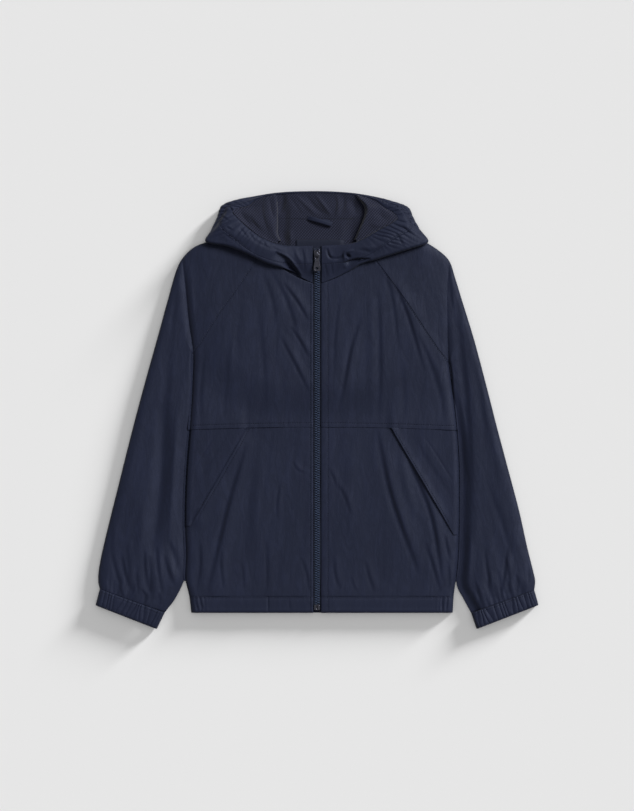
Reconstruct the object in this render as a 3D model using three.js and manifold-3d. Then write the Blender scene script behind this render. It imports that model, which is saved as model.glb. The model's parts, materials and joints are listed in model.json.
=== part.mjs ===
// A child's hooded zip windbreaker with raglan sleeves, laid on its back on a flat surface.
// Millimetres. +X is to the garment's left sleeve as it is seen from above, +Y towards the hood,
// +Z up from the surface. The origin is on the underside, in the middle of the garment.

import * as THREE from 'three';
import { mergeVertices } from 'three/addons/utils/BufferGeometryUtils.js';
import Module from 'manifold-3d';

const wasm = await Module();
wasm.setup();

// Cloth sizes
const shellWall = 2; // shell cloth with the lining behind it
const liningWall = 1.2;
const casingWall = 2.4; // folded double round the elastic
const bandWall = 2.6; // cuffs and hem
const flapWall = 1.4;
const seam = 0.5; // width of the gap between two sewn edges
const layerGap = 0.4; // between cloths that lie on each other
const edgeSeat = shellWall + layerGap; // where an upper layer's edge stands on the lower one

// Heights of the upper layer's outer face over the bed, low down and at the neck
const loftBody = 7.9;
const loftNeck = 6.8;
const neckFrom = 120;
const neckTo = 200;
const sideRadius = 9; // rounding at the sides of the body and the underarm
const outerRadius = 13; // rounding at the sleeve's outer fold
const foldMiddle = 3.6; // height of the sleeve's outermost line
const foldTuck = 4.6; // reach of the turn to the underside

// Zip
const zipHalf = 5.4; // half the slot between the two fronts
const chainHalf = 2.9;
const chainRise = 1.7; // over the tape
const tapeWall = 1;
const tapeWidth = 13;
const zipTop = 218;
const zipFoot = -268;
const neckAtZip = 170;

// Seam heights on the fronts
const yokeSeam = -22.5;
const yokeDrop = 4; // how far the yoke seam falls towards the side
const hemSeam = -250;
const hemEdge = -273.4;
const elasticWidth = 26; // gathered stretch of the hem beside each side seam

// The part of the hood that is folded flat under the back
const foldedHood = { left: -124, right: 123, top: 277, foot: 50, topCorner: 48, footCorner: 88 };
const foldedHeight = 3.2;
const bedHeight = foldedHeight + 0.4;
const bedFlat = 12; // the bed stays level this far past the folded hood
const bedRamp = 55;

const colours = { shell: 0x272d3f, casing: 0x2a3145, lining: 0x2b2f3d, zip: 0x1f2738, metal: 0x343a4a };
const cloths = {
  shell: new THREE.MeshStandardMaterial({ color: colours.shell, roughness: 0.62, metalness: 0 }),
  casing: new THREE.MeshStandardMaterial({ color: colours.casing, roughness: 0.64, metalness: 0 }),
  lining: new THREE.MeshStandardMaterial({ color: colours.lining, roughness: 0.9, metalness: 0 }),
  zip: new THREE.MeshStandardMaterial({ color: colours.zip, roughness: 0.5, metalness: 0 }),
  metal: new THREE.MeshStandardMaterial({ color: colours.metal, roughness: 0.35, metalness: 0.6 }),
};

// Tables

function table(columns, rows) {
  return rows.map((row) => Object.fromEntries(columns.map((name, i) => [name, row[i]])));
}

// Left and right edges of the body. Above the armpit they follow the fold between chest and arm,
// and the two fold columns say how deep that fold is, from 0 to 1.
const bodyEdges = table(['y', 'left', 'right', 'foldLeft', 'foldRight'], [
  [-274, -169.5, 183.0, 1, 1],
  [-251, -172.3, 184.4, 1, 1],
  [-227, -177.5, 187.4, 1, 1],
  [-197, -176.5, 190.2, 1, 1],
  [-155, -177.9, 191.5, 1, 1],
  [-108, -177.2, 191.9, 1, 1],
  [-61, -174.5, 190.9, 1, 1],
  [-14, -170.5, 187.2, 1, 1],
  [34, -167.8, 181.5, 1, 1],
  [64, -166.6, 177.4, 0.9, 0.9],
  [80, -167.0, 176.6, 0.72, 0.68],
  [121, -173.0, 175.5, 0.7, 0.35],
  [162, -177.0, 175.5, 0.62, 0.25],
  [200, -181.0, 178.2, 0.4, 0.45],
  [240, -183.0, 180.0, 0, 0],
]);

// Sections of each raglan sleeve, from the neck to the cuff seam. The front edge follows the front
// raglan seam and then the underarm, the outer edge is the fold, and the back edge lies underneath.
const sleeveColumns = ['frontX', 'frontY', 'outerX', 'outerY', 'backX', 'backY', 'waves'];
const sleeves = {
  left: table(sleeveColumns, [
    [-71.6, 216.0, -74.3, 261.0, -57.5, 257.9, 0],
    [-90.5, 191.7, -104.0, 246.0, -74.3, 229.5, 0],
    [-110.7, 162.0, -137.7, 230.5, -93.2, 199.8, 0],
    [-128.3, 138.0, -164.7, 220.0, -112.0, 168.8, 0],
    [-144.5, 113.0, -180.9, 205.2, -130.5, 138.0, 0],
    [-157.5, 92.0, -190.4, 186.3, -149.0, 107.0, 0],
    [-167.6, 75.6, -201.2, 148.5, -167.6, 75.6, 0],
    [-168.8, 33.8, -216.0, 94.5, -168.8, 33.8, 0],
    [-171.5, -13.5, -232.2, 36.5, -171.5, -13.5, 0],
    [-175.5, -60.8, -248.4, -24.3, -175.5, -60.8, 0],
    [-178.2, -108.0, -263.3, -83.7, -178.2, -108.0, 0.1],
    [-178.9, -155.3, -276.8, -137.7, -178.9, -155.3, 0.3],
    [-177.5, -197.1, -288.9, -187.7, -177.5, -197.1, 0.6],
    [-178.9, -226.8, -294.3, -216.0, -178.9, -226.8, 0.9],
    [-190.6, -253.0, -295.0, -230.9, -190.6, -253.0, 1],
    [-205.2, -273.0, -293.0, -241.3, -205.2, -273.0, 0.8],
  ]),
  right: table(sleeveColumns, [
    [71.6, 213.3, 77.0, 261.0, 58.5, 257.9, 0],
    [90.5, 189.0, 108.0, 245.7, 77.0, 228.2, 0],
    [109.4, 163.4, 139.0, 230.0, 95.9, 197.1, 0],
    [126.9, 139.1, 162.0, 216.5, 114.8, 166.1, 0],
    [144.5, 112.1, 178.2, 201.2, 135.0, 132.3, 0],
    [163.4, 84.0, 186.3, 178.2, 157.0, 96.5, 0],
    [178.4, 62.1, 195.8, 147.2, 178.4, 62.1, 0],
    [183.6, 24.3, 212.0, 94.5, 183.6, 24.3, 0],
    [189.0, -20.3, 228.2, 33.8, 189.0, -20.3, 0],
    [192.4, -67.5, 243.0, -24.3, 192.4, -67.5, 0],
    [193.1, -114.8, 258.5, -82.4, 193.1, -114.8, 0.1],
    [192.4, -159.3, 272.7, -136.4, 192.4, -159.3, 0.3],
    [191.0, -202.5, 283.5, -185.0, 191.0, -202.5, 0.6],
    [188.6, -234.9, 291.6, -217.4, 188.6, -234.9, 0.9],
    [197.1, -253.5, 294.2, -230.9, 197.1, -253.5, 1],
    [207.9, -273.7, 293.0, -242.6, 207.9, -273.7, 0.8],
  ]),
};
const armpitRow = 6;
const armpitShare = 0.4; // how far up the front and back panels the armpit is

// Far edge of each cuff: inner corner, then outer corner
const cuffEnds = {
  left: { innerX: -216.0, innerY: -295.2, outerX: -298.6, outerY: -263.0 },
  right: { innerX: 215.2, innerY: -295.1, outerX: 298.7, outerY: -262.8 },
};

// Neck seam of each front, from beside the raglan seam to the zip
const neckSeams = {
  left: [[-60, 203], [-44.6, 189.5], [-27, 179], [-zipHalf, neckAtZip]],
  right: [[60, 201], [44.6, 188.5], [27, 178.5], [zipHalf, neckAtZip]],
};

// Largest folds: three points of each line, its depth (a ridge where negative) and half width
const folds = table(['x1', 'y1', 'x2', 'y2', 'x3', 'y3', 'depth', 'width'], [
  [80, 192, 82, 90, 82, 0, 1.5, 7],
  [82, 0, 96, -92, 126, -198, 2.1, 8],
  [93, 186, 120, 92, 160, -42, 1.7, 7],
  [72, 188, 46, 95, 31, 14, 1.1, 7],
  [154, 160, 157, 130, 158, 112, 1.7, 6],
  [108, -60, 138, -122, 166, -230, 2.0, 7],
  [60, -208, 66, -220, 72, -234, 1.0, 5],
  [-50, 178, -30, 143, -15, 107, 1.5, 5],
  [-27, 108, -20, 95, -14, 82, 1.2, 4],
  [-27, 66, -19, 45, -12, 22, 1.2, 4],
  [-38, 180, -26, 168, -14, 157, 1.4, 5],
  [-96, -44, -118, -110, -148, -214, 2.1, 8],
  [-43, -52, -48, -110, -50, -158, 0.8, 6],
  [-100, 150, -90, 60, -92, -10, 0.8, 9],
  [-200, 80, -222, -20, -236, -120, 1.2, 9],
  [-190, 20, -212, -90, -222, -190, -1.1, 9],
  [206, 90, 232, -20, 246, -120, 1.2, 9],
  [206, 0, 222, -90, 232, -190, -1.1, 9],
]);

// Stations round the hood opening, from the left of the zip over the top to the right of the zip.
// edge: outermost line seen from above. rimX, rimY: edge of the opening. low, crest, rim: heights of
// the under edge, the top of the roll and the opening's edge. turn: share of a half turn that the
// cloth makes at the edge, with this radius. tuck: how far it runs back under. casing: width of the
// elastic casing. gather: 0 to 1.
const hoodColumns = ['edgeX', 'edgeY', 'rimX', 'rimY', 'low', 'crest', 'rim', 'turn', 'radius', 'tuck',
  'casing', 'gather'];
const hoodStations = table(hoodColumns, [
  [-5.9, 170.6, -5.9, 221.0, 10.6, 15.1, 15.1, 0, 3, 0, 25, 0],
  [-28.0, 181.4, -27.0, 220.7, 11, 16.6, 15.2, 0.25, 3.5, 0, 25, 0],
  [-45.9, 190.4, -44.6, 222.0, 11.6, 19.1, 16.1, 0.6, 3.8, 0, 25, 0],
  [-68.9, 197.1, -60.8, 226.1, 12, 21.1, 17.1, 1, 4.2, 8, 25, 0.3],
  [-93.2, 208.6, -77.0, 233.6, 12, 22.1, 18.1, 1, 4.6, 14, 25, 0.7],
  [-120.2, 219.4, -93.2, 245.7, 11.8, 23.1, 18.6, 1, 5, 15, 25, 1],
  [-149.5, 226.0, -106.7, 257.9, 8.6, 21.1, 18.6, 1, 5, 14, 25, 1],
  [-143.1, 241.7, -112.7, 265.3, 3, 19.5, 17.5, 1, 5, 10, 24, 1],
  [-135.0, 259.2, -111.4, 268.0, 0, 17, 16, 1, 5, 3, 18, 1],
  [-128.3, 275.6, -105.3, 271.4, 0, 14, 13, 1, 5, 5, 16, 1],
  [-106.7, 284.2, -91.8, 274.6, 0, 12, 11.2, 1, 5, 4, 10, 0.6],
  [-82.4, 288.9, -76.6, 279.4, 0, 11, 10.2, 1, 5, 6, 5, 0.2],
  [-56.7, 293.0, -55.4, 284.5, 0, 10.2, 9.8, 1, 5, 9, 0, 0],
  [-28.4, 295.0, -28.4, 286.8, 0, 10.2, 9.8, 1, 5, 12, 0, 0],
  [0.0, 295.5, 0.0, 287.4, 0, 10.2, 9.8, 1, 5, 12, 0, 0],
  [28.4, 294.6, 28.4, 286.4, 0, 10.2, 9.8, 1, 5, 11, 0, 0],
  [54.0, 292.3, 52.7, 283.8, 0, 10.2, 9.8, 1, 5, 8.5, 0, 0],
  [79.7, 287.6, 74.6, 278.5, 0, 11, 10.2, 1, 5, 5, 5, 0.2],
  [102.6, 281.5, 90.8, 271.7, 0, 12, 11.2, 1, 5, 3, 10, 0.6],
  [122.9, 273.6, 100.6, 266.3, 0, 14, 13, 1, 5, 3, 16, 1],
  [130.2, 259.2, 107.0, 260.2, 0, 17, 16, 1, 5, 2, 18, 1],
  [139.0, 243.0, 106.7, 256.5, 3, 19.5, 17.5, 1, 5, 10, 24, 1],
  [149.5, 226.0, 98.6, 250.4, 8.6, 21.1, 18.6, 1, 5, 14, 25, 1],
  [126.9, 216.7, 83.7, 243.0, 11.8, 23.1, 18.6, 1, 5, 15, 25, 1],
  [101.3, 208.6, 68.9, 234.2, 12, 22.1, 18.1, 1, 4.6, 14, 25, 0.7],
  [77.0, 201.2, 54.0, 226.8, 12, 21.1, 17.1, 1, 4.2, 8, 25, 0.3],
  [54.0, 193.8, 39.2, 223.2, 11.6, 19.1, 16.1, 0.6, 3.8, 0, 25, 0],
  [31.0, 180.6, 24.3, 222.1, 11, 16.6, 15.2, 0.25, 3.5, 0, 25, 0],
  [5.9, 170.6, 5.9, 221.0, 10.6, 15.1, 15.1, 0, 3, 0, 25, 0],
]);
const crestShare = 0.42; // where the crest is, from the rim to the edge
const crownStations = { from: 12, to: 16 }; // the middle panel of the hood
const casingStations = { left: 11, right: 17 }; // where each elastic casing runs out

// The lining on each side of the hood opening: the station that each row starts from, and the
// ridge of the fold where the lining turns down to the middle
const liningFolds = {
  left: table(['station', 'ridgeX', 'ridgeY', 'ridge'], [
    [2.6, -50, 229, 14.2],
    [3.4, -57.5, 233.5, 15],
    [4.2, -60.5, 239.5, 15.2],
    [5.2, -62, 247, 15.2],
    [6.4, -63, 254.5, 14.8],
    [8.4, -64.5, 262, 14.2],
    [9.6, -66, 269, 12.4],
    [10.8, -65.5, 274.5, 11.6],
    [11.7, -60, 279.5, 10.6],
  ]),
  right: table(['station', 'ridgeX', 'ridgeY', 'ridge'], [
    [25.4, 45.5, 230, 14.2],
    [24.8, 53, 234.5, 15.2],
    [24, 58, 239.5, 15.8],
    [23, 65, 247.5, 16],
    [21.8, 72, 256.5, 15.2],
    [19.6, 70, 264.5, 13.6],
    [18.3, 64, 271.5, 11.8],
    [17.2, 55, 276.5, 11.2],
    [16.3, 45, 280.5, 10.4],
  ]),
};
const liningSag = 1.2; // how far the lining hangs between the rim and its fold
const liningFoot = 8.2; // height of the lining's under edge
const liningTop = 9.2; // height of its middle panel at the crown

// Small helpers

// Smooth interpolation of one column over a sorted key column
function column(rows, key, value) {
  const slope = (i) => {
    const a = rows[Math.max(i - 1, 0)];
    const b = rows[Math.min(i + 1, rows.length - 1)];
    return (b[value] - a[value]) / (b[key] - a[key]);
  };
  return (at) => {
    let i = 0;
    while (i < rows.length - 2 && at > rows[i + 1][key]) i += 1;
    const a = rows[i];
    const b = rows[i + 1];
    const span = b[key] - a[key];
    const t = THREE.MathUtils.clamp((at - a[key]) / span, 0, 1);
    const lift = t * t * (3 - 2 * t);
    const bend = t * (1 - t) * span * ((1 - t) * slope(i) - t * slope(i + 1));
    return a[value] + (b[value] - a[value]) * lift + bend;
  };
}

// The same over the row number, for every column of a table at once
function rowReader(rows) {
  const numbered = rows.map((row, i) => ({ ...row, row: i }));
  const names = Object.keys(rows[0]);
  const readers = names.map((name) => column(numbered, 'row', name));
  return (at) => Object.fromEntries(names.map((name, i) => [name, readers[i](at)]));
}

function lineThrough(points) {
  return new THREE.CatmullRomCurve3(points.map(([x, y]) => new THREE.Vector3(x, y, 0)), false, 'centripetal');
}

function rounded(distance, radius) {
  const t = THREE.MathUtils.clamp(distance / radius, 0, 1);
  return Math.sqrt(1 - (1 - t) ** 2);
}

function spread(count, from = 0, to = 1) {
  return Array.from({ length: count + 1 }, (_, i) => from + ((to - from) * i) / count);
}

// Steps that crowd at the first end, where cloth turns down over an edge
const edgeSteps = [0, 0.006, 0.021, 0.05];

// Heights

// Distance outside the folded hood's outline, negative inside it
function outsideFoldedHood(x, y) {
  const { left, right, top, foot, topCorner, footCorner } = foldedHood;
  const corner = y > (top + foot) / 2 ? topCorner : footCorner;
  const dx = Math.abs(x - (left + right) / 2) - (right - left) / 2 + corner;
  const dy = Math.abs(y - (top + foot) / 2) - (top - foot) / 2 + corner;
  return Math.hypot(Math.max(dx, 0), Math.max(dy, 0)) + Math.min(Math.max(dx, dy), 0) - corner;
}

// Height that the folded hood lifts everything above it
function bed(x, y) {
  return bedHeight * (1 - THREE.MathUtils.smoothstep(outsideFoldedHood(x, y), bedFlat, bedFlat + bedRamp));
}

function loft(y) {
  return THREE.MathUtils.lerp(loftBody, loftNeck, THREE.MathUtils.smoothstep(y, neckFrom, neckTo));
}

function foldRelief(x, y) {
  let sum = 0;
  for (const f of folds) {
    const points = [[f.x1, f.y1], [f.x2, f.y2], [f.x3, f.y3]];
    let nearest = Infinity;
    let share = 0;
    for (let i = 0; i < 2; i += 1) {
      const [ax, ay] = points[i];
      const [bx, by] = points[i + 1];
      const t = THREE.MathUtils.clamp(
        ((x - ax) * (bx - ax) + (y - ay) * (by - ay)) / ((bx - ax) ** 2 + (by - ay) ** 2), 0, 1);
      const away = Math.hypot(x - ax - t * (bx - ax), y - ay - t * (by - ay));
      if (away < nearest) {
        nearest = away;
        share = (i + t) / 2;
      }
    }
    sum -= f.depth * Math.exp(-((nearest / f.width) ** 2)) * Math.sqrt(Math.max(Math.sin(Math.PI * share), 0));
  }
  return sum;
}

const edgeLeft = column(bodyEdges, 'y', 'left');
const edgeRight = column(bodyEdges, 'y', 'right');
const foldLeft = column(bodyEdges, 'y', 'foldLeft');
const foldRight = column(bodyEdges, 'y', 'foldRight');
const sideEdge = { left: edgeLeft, right: edgeRight };
const sideFold = { left: foldLeft, right: foldRight };

// Outer face of the front of the garment, chest and shoulder alike
function frontHeight(x, y, side) {
  const inset = Math.abs(x - sideEdge[side](y));
  const full = 1 - sideFold[side](y) * (1 - rounded(inset, sideRadius));
  const relief = foldRelief(x, y) * Math.min(1, inset / sideRadius);
  return bed(x, y) + edgeSeat + (loft(y) - edgeSeat) * full + relief;
}

// Outer face of the front edges beside the zip
function placketHeight(y) {
  if (y <= neckAtZip) return bed(0, y) + loft(y);
  const { low, crest, rimY } = hoodStations[0];
  const collar = (y - neckAtZip) / (rimY - neckAtZip);
  return THREE.MathUtils.lerp(low, crest, THREE.MathUtils.smoothstep(collar, 0, 1 - crestShare));
}

// Solids

function meshFrom(name, cloth, positions, indices) {
  const geometry = new THREE.BufferGeometry();
  geometry.setAttribute('position', new THREE.Float32BufferAttribute(positions, 3));
  geometry.setIndex(indices);
  geometry.computeVertexNormals();
  const mesh = new THREE.Mesh(geometry, cloths[cloth]);
  mesh.name = name;
  return mesh;
}

// A wall of cloth. at(u, v) is a point of its outer face; u runs over us and v over vs. facing is 1
// or -1, so that u x v times facing points out of the cloth. level(i, j) says at which points the
// wall is offset sideways only. wayOut(u, v), where given, is the way out of the cloth. ring joins
// the last u to the first.
function clothWall({ name, cloth, us, vs, at, thick, facing, level = () => false, wayOut = null, ring = false }) {
  const outer = vs.map((v) => us.map((u) => at(u, v)));
  const nu = us.length;
  const nv = vs.length;
  const neighbour = (j, step) => (ring ? (j + step + nu) % nu : THREE.MathUtils.clamp(j + step, 0, nu - 1));
  const positions = [];
  const inner = [];
  for (let i = 0; i < nv; i += 1) {
    for (let j = 0; j < nu; j += 1) {
      const along = outer[i][neighbour(j, 1)].clone().sub(outer[i][neighbour(j, -1)]);
      const across = outer[Math.min(i + 1, nv - 1)][j].clone().sub(outer[Math.max(i - 1, 0)][j]);
      const normal = wayOut ? wayOut(us[j], vs[i]) : along.cross(across).multiplyScalar(facing);
      if (level(i, j)) normal.z = 0;
      normal.normalize();
      positions.push(...outer[i][j]);
      inner.push(...outer[i][j].clone().addScaledVector(normal, -thick));
    }
  }
  positions.push(...inner);
  const back = nu * nv;
  const id = (i, j) => i * nu + (j % nu);
  const indices = [];
  const quad = (a, b, c, d) => (facing > 0 ? indices.push(a, b, c, a, c, d) : indices.push(a, c, b, a, d, c));
  const lastColumn = ring ? nu : nu - 1;
  for (let i = 0; i < nv - 1; i += 1) {
    for (let j = 0; j < lastColumn; j += 1) {
      quad(id(i, j), id(i, j + 1), id(i + 1, j + 1), id(i + 1, j));
      quad(back + id(i, j), back + id(i + 1, j), back + id(i + 1, j + 1), back + id(i, j + 1));
    }
    if (!ring) {
      quad(id(i, 0), id(i + 1, 0), back + id(i + 1, 0), back + id(i, 0));
      quad(id(i, nu - 1), back + id(i, nu - 1), back + id(i + 1, nu - 1), id(i + 1, nu - 1));
    }
  }
  for (let j = 0; j < lastColumn; j += 1) {
    quad(id(0, j), back + id(0, j), back + id(0, j + 1), id(0, j + 1));
    quad(id(nv - 1, j), id(nv - 1, j + 1), back + id(nv - 1, j + 1), back + id(nv - 1, j));
  }
  return meshFrom(name, cloth, positions, indices);
}

// A four-sided patch between curves: bottom and top run along u, near and far along v
function patch({ bottom, top, near, far }) {
  const corner = [near(0), far(0), near(1), far(1)];
  return (u, v) => {
    const sides = near(v).multiplyScalar(1 - u).addScaledVector(far(v), u);
    const ends = bottom(u).multiplyScalar(1 - v).addScaledVector(top(u), v);
    const low = corner[0].clone().multiplyScalar(1 - u).addScaledVector(corner[1], u);
    const high = corner[2].clone().multiplyScalar(1 - u).addScaledVector(corner[3], u);
    return sides.add(ends).sub(low.multiplyScalar(1 - v)).sub(high.multiplyScalar(v));
  };
}

const flat = (x, y) => new THREE.Vector3(x, y, 0);
const sign = { left: -1, right: 1 };
const frontFacing = { left: 1, right: -1 };

function yokeSeamHeight(x) {
  const share = Math.abs(x) / Math.abs(bodyEdges[0].right);
  return yokeSeam - yokeDrop * share * share;
}

// Fronts

const upperRows = [...spread(5, 0, armpitShare), ...spread(armpitRow, armpitShare, 1).slice(1)];

// Side edge and then raglan seam of a front or the back, from height y0 to the neck
function sideCurve(side, y0, seamX, seamY) {
  const read = rowReader(sleeves[side]);
  const raglan = (row) => {
    const at = read(row);
    return flat(at[seamX] - sign[side] * seam, at[seamY] - 0.6 * seam);
  };
  const armpit = raglan(armpitRow);
  return (v) => {
    if (v > armpitShare) return raglan((armpitRow * (1 - v)) / (1 - armpitShare));
    const share = v / armpitShare;
    const y = THREE.MathUtils.lerp(y0, armpit.y, share);
    return flat(sideEdge[side](y) + (armpit.x - sideEdge[side](armpit.y)) * share ** 4, y);
  };
}

function frontUpper(side) {
  const sideLine = sideCurve(side, yokeSeamHeight(sideEdge[side](yokeSeam)), 'frontX', 'frontY');
  const start = sideLine(0);
  const neckCorner = sideLine(1);
  const neck = lineThrough([[neckCorner.x, neckCorner.y], ...neckSeams[side]]);
  const zipX = sign[side] * zipHalf;
  const outline = patch({
    near: sideLine,
    far: (v) => flat(zipX, THREE.MathUtils.lerp(yokeSeam, neckAtZip, v)),
    bottom: (u) => {
      const x = THREE.MathUtils.lerp(start.x, zipX, u);
      return flat(x, THREE.MathUtils.lerp(yokeSeamHeight(x), yokeSeam, u ** 4));
    },
    top: (u) => neck.getPoint(u),
  });
  return clothWall({
    name: `front_upper_${side}`,
    cloth: 'shell',
    us: [...edgeSteps, ...spread(15, 0.05, 1).slice(1)],
    vs: upperRows,
    at: (u, v) => {
      const point = outline(u, v);
      point.z = frontHeight(point.x, point.y, side);
      return point;
    },
    thick: shellWall,
    facing: frontFacing[side],
    level: (i, j) => j === 0 && upperRows[i] < armpitShare,
  });
}

function lowerPoint(side, u, y) {
  const edge = sideEdge[side](y);
  return flat(THREE.MathUtils.lerp(edge, sign[side] * zipHalf, u), y);
}

function frontLower(side) {
  return clothWall({
    name: `front_lower_${side}`,
    cloth: 'shell',
    us: [...edgeSteps, ...spread(15, 0.05, 1).slice(1)],
    vs: spread(8),
    at: (u, v) => {
      const x = lowerPoint(side, u, yokeSeam).x;
      const top = THREE.MathUtils.lerp(yokeSeamHeight(x), yokeSeam, u ** 4) - seam;
      const point = lowerPoint(side, u, THREE.MathUtils.lerp(hemSeam + seam, top, v));
      point.z = frontHeight(point.x, point.y, side);
      return point;
    },
    thick: shellWall,
    facing: frontFacing[side],
    level: (i, j) => j === 0,
  });
}

// The slanted flap over each pocket: it hangs from the yoke seam and the side seam
const pocketFlaps = {
  left: { topX: -95, foot: -156, sideGap: 4 },
  right: { topX: 100, foot: -168, sideGap: 4 },
};

function pocketFlap(side) {
  const { topX, foot, sideGap } = pocketFlaps[side];
  const top = yokeSeamHeight(topX) - seam;
  const bluntEnd = 5;
  return clothWall({
    name: `pocket_flap_${side}`,
    cloth: 'shell',
    us: [0, 0.04, 0.16, ...spread(5, 0.16, 1).slice(1)],
    vs: spread(9),
    at: (u, v) => {
      const y = THREE.MathUtils.lerp(foot, top, v);
      const edge = sideEdge[side](y) - sign[side] * sideGap;
      const free = THREE.MathUtils.lerp(edge - sign[side] * bluntEnd, topX, v);
      const x = THREE.MathUtils.lerp(edge, free, u);
      const drop = v === 1 ? yokeSeamHeight(x) - seam : y;
      return new THREE.Vector3(x, drop, frontHeight(x, drop, side) + layerGap + flapWall);
    },
    thick: flapWall,
    facing: frontFacing[side],
  });
}

function gatherWave(distance, pitch, height) {
  return height * (0.5 + 0.5 * Math.cos((2 * Math.PI * distance) / pitch));
}

function hemFront(side) {
  const pitch = 5.2;
  const rise = 0.9;
  const width = Math.abs(sideEdge[side](hemSeam)) - zipHalf;
  const gathered = elasticWidth / width;
  return clothWall({
    name: `hem_front_${side}`,
    cloth: 'casing',
    us: [0, 0.006, ...spread(15, 0.02, gathered), ...spread(8, gathered, 1).slice(1)],
    vs: spread(2),
    at: (u, v) => {
      const y = THREE.MathUtils.lerp(hemEdge, hemSeam, v);
      const point = lowerPoint(side, u, y);
      const wave = u < gathered ? gatherWave(u * width, pitch, rise) * Math.sin(Math.PI * (u / gathered)) : 0;
      point.z = frontHeight(point.x, y, side) + bandWall - shellWall + wave;
      return point;
    },
    thick: bandWall,
    facing: frontFacing[side],
    level: (i, j) => j === 0,
  });
}

// Back

function back() {
  const neckY = sleeves.left[0].backY - seam;
  const outline = patch({
    near: sideCurve('left', hemSeam + seam, 'backX', 'backY'),
    far: sideCurve('right', hemSeam + seam, 'backX', 'backY'),
    bottom: (u) => flat(THREE.MathUtils.lerp(edgeLeft(hemSeam), edgeRight(hemSeam), u), hemSeam + seam),
    top: (u) => flat(THREE.MathUtils.lerp(sleeves.left[0].backX + seam, sleeves.right[0].backX - seam, u),
      neckY + seam - 0.6 * seam),
  });
  return clothWall({
    name: 'back',
    cloth: 'shell',
    us: spread(14),
    vs: [...[0, 0.3, 0.6, 0.716, 0.8, 0.885, 0.94].map((v) => v * armpitShare),
      ...spread(armpitRow, armpitShare, 1)],
    at: (u, v) => {
      const point = outline(u, v);
      point.z = bed(point.x, point.y);
      return point;
    },
    thick: shellWall,
    facing: -1,
  });
}

function hemBack() {
  return clothWall({
    name: 'hem_back',
    cloth: 'casing',
    us: spread(14),
    vs: [0, 1],
    at: (u, v) => {
      const y = THREE.MathUtils.lerp(hemEdge, hemSeam, v);
      return flat(THREE.MathUtils.lerp(edgeLeft(y), edgeRight(y), u), y);
    },
    thick: shellWall,
    facing: -1,
  });
}

// Sleeves

const topSteps = 22;
const floorSteps = 3;
const turnSteps = 3;

// One column list for the whole way round a sleeve: upper layer, outer turn, lower layer
function sleeveColumnsRound() {
  const upper = [0, 0.012, 0.045, 0.1, ...spread(topSteps - 6, 0.1, 0.9).slice(1), 0.95, 0.985, 1];
  const turn = spread(turnSteps).slice(1).map((t) => 1 + t);
  const floor = spread(floorSteps).slice(1).map((t) => 2 + t);
  return [...upper, ...turn, ...floor];
}

function sleevePoint(side, read, u, v) {
  const row = read(v);
  const front = flat(row.frontX, row.frontY);
  const outer = flat(row.outerX, row.outerY);
  const under = flat(row.backX, row.backY);
  const width = front.distanceTo(outer);
  const gathers = 6.5;
  if (u <= 1) {
    const point = front.clone().lerp(outer, u);
    const fromOuter = (1 - u) * width;
    const onCap = v < armpitRow;
    let height = frontHeight(point.x, point.y, side);
    if (!onCap) {
      const body = loft(point.y) - edgeSeat;
      const wave = 1.3 * row.waves * Math.sin(2 * Math.PI * gathers * u) * Math.min(1, u * 8, (1 - u) * 8);
      height = bed(point.x, point.y) + edgeSeat + body * rounded(u * width, sideRadius)
        + (foldRelief(point.x, point.y) + wave) * rounded(u * width, sideRadius);
    }
    const base = bed(point.x, point.y) + foldMiddle;
    point.z = base + (height - base) * rounded(fromOuter, outerRadius);
    return point;
  }
  if (u <= 2) {
    const angle = ((u - 1) * Math.PI) / 2;
    const reach = foldTuck * (1 - Math.cos(angle));
    const point = outer.clone().lerp(under, reach / outer.distanceTo(under));
    point.z = bed(point.x, point.y) + foldMiddle * (1 - Math.sin(angle));
    return point;
  }
  const start = foldTuck / outer.distanceTo(under);
  const point = outer.clone().lerp(under, THREE.MathUtils.lerp(start, 1, u - 2));
  point.z = bed(point.x, point.y);
  return point;
}

function sleeve(side) {
  const read = rowReader(sleeves[side]);
  const last = sleeves[side].length - 1;
  const vs = [0, 1, 2, 3, 4, 5, 6, 7.2, 8.8, 10.4, 11.8, 13, 14, last];
  return clothWall({
    name: `sleeve_${side}`,
    cloth: 'shell',
    us: sleeveColumnsRound(),
    vs,
    at: (u, v) => sleevePoint(side, read, u, v),
    thick: shellWall,
    facing: frontFacing[side],
    level: (i, j) => j === 0 && vs[i] >= armpitRow,
  });
}

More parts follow.
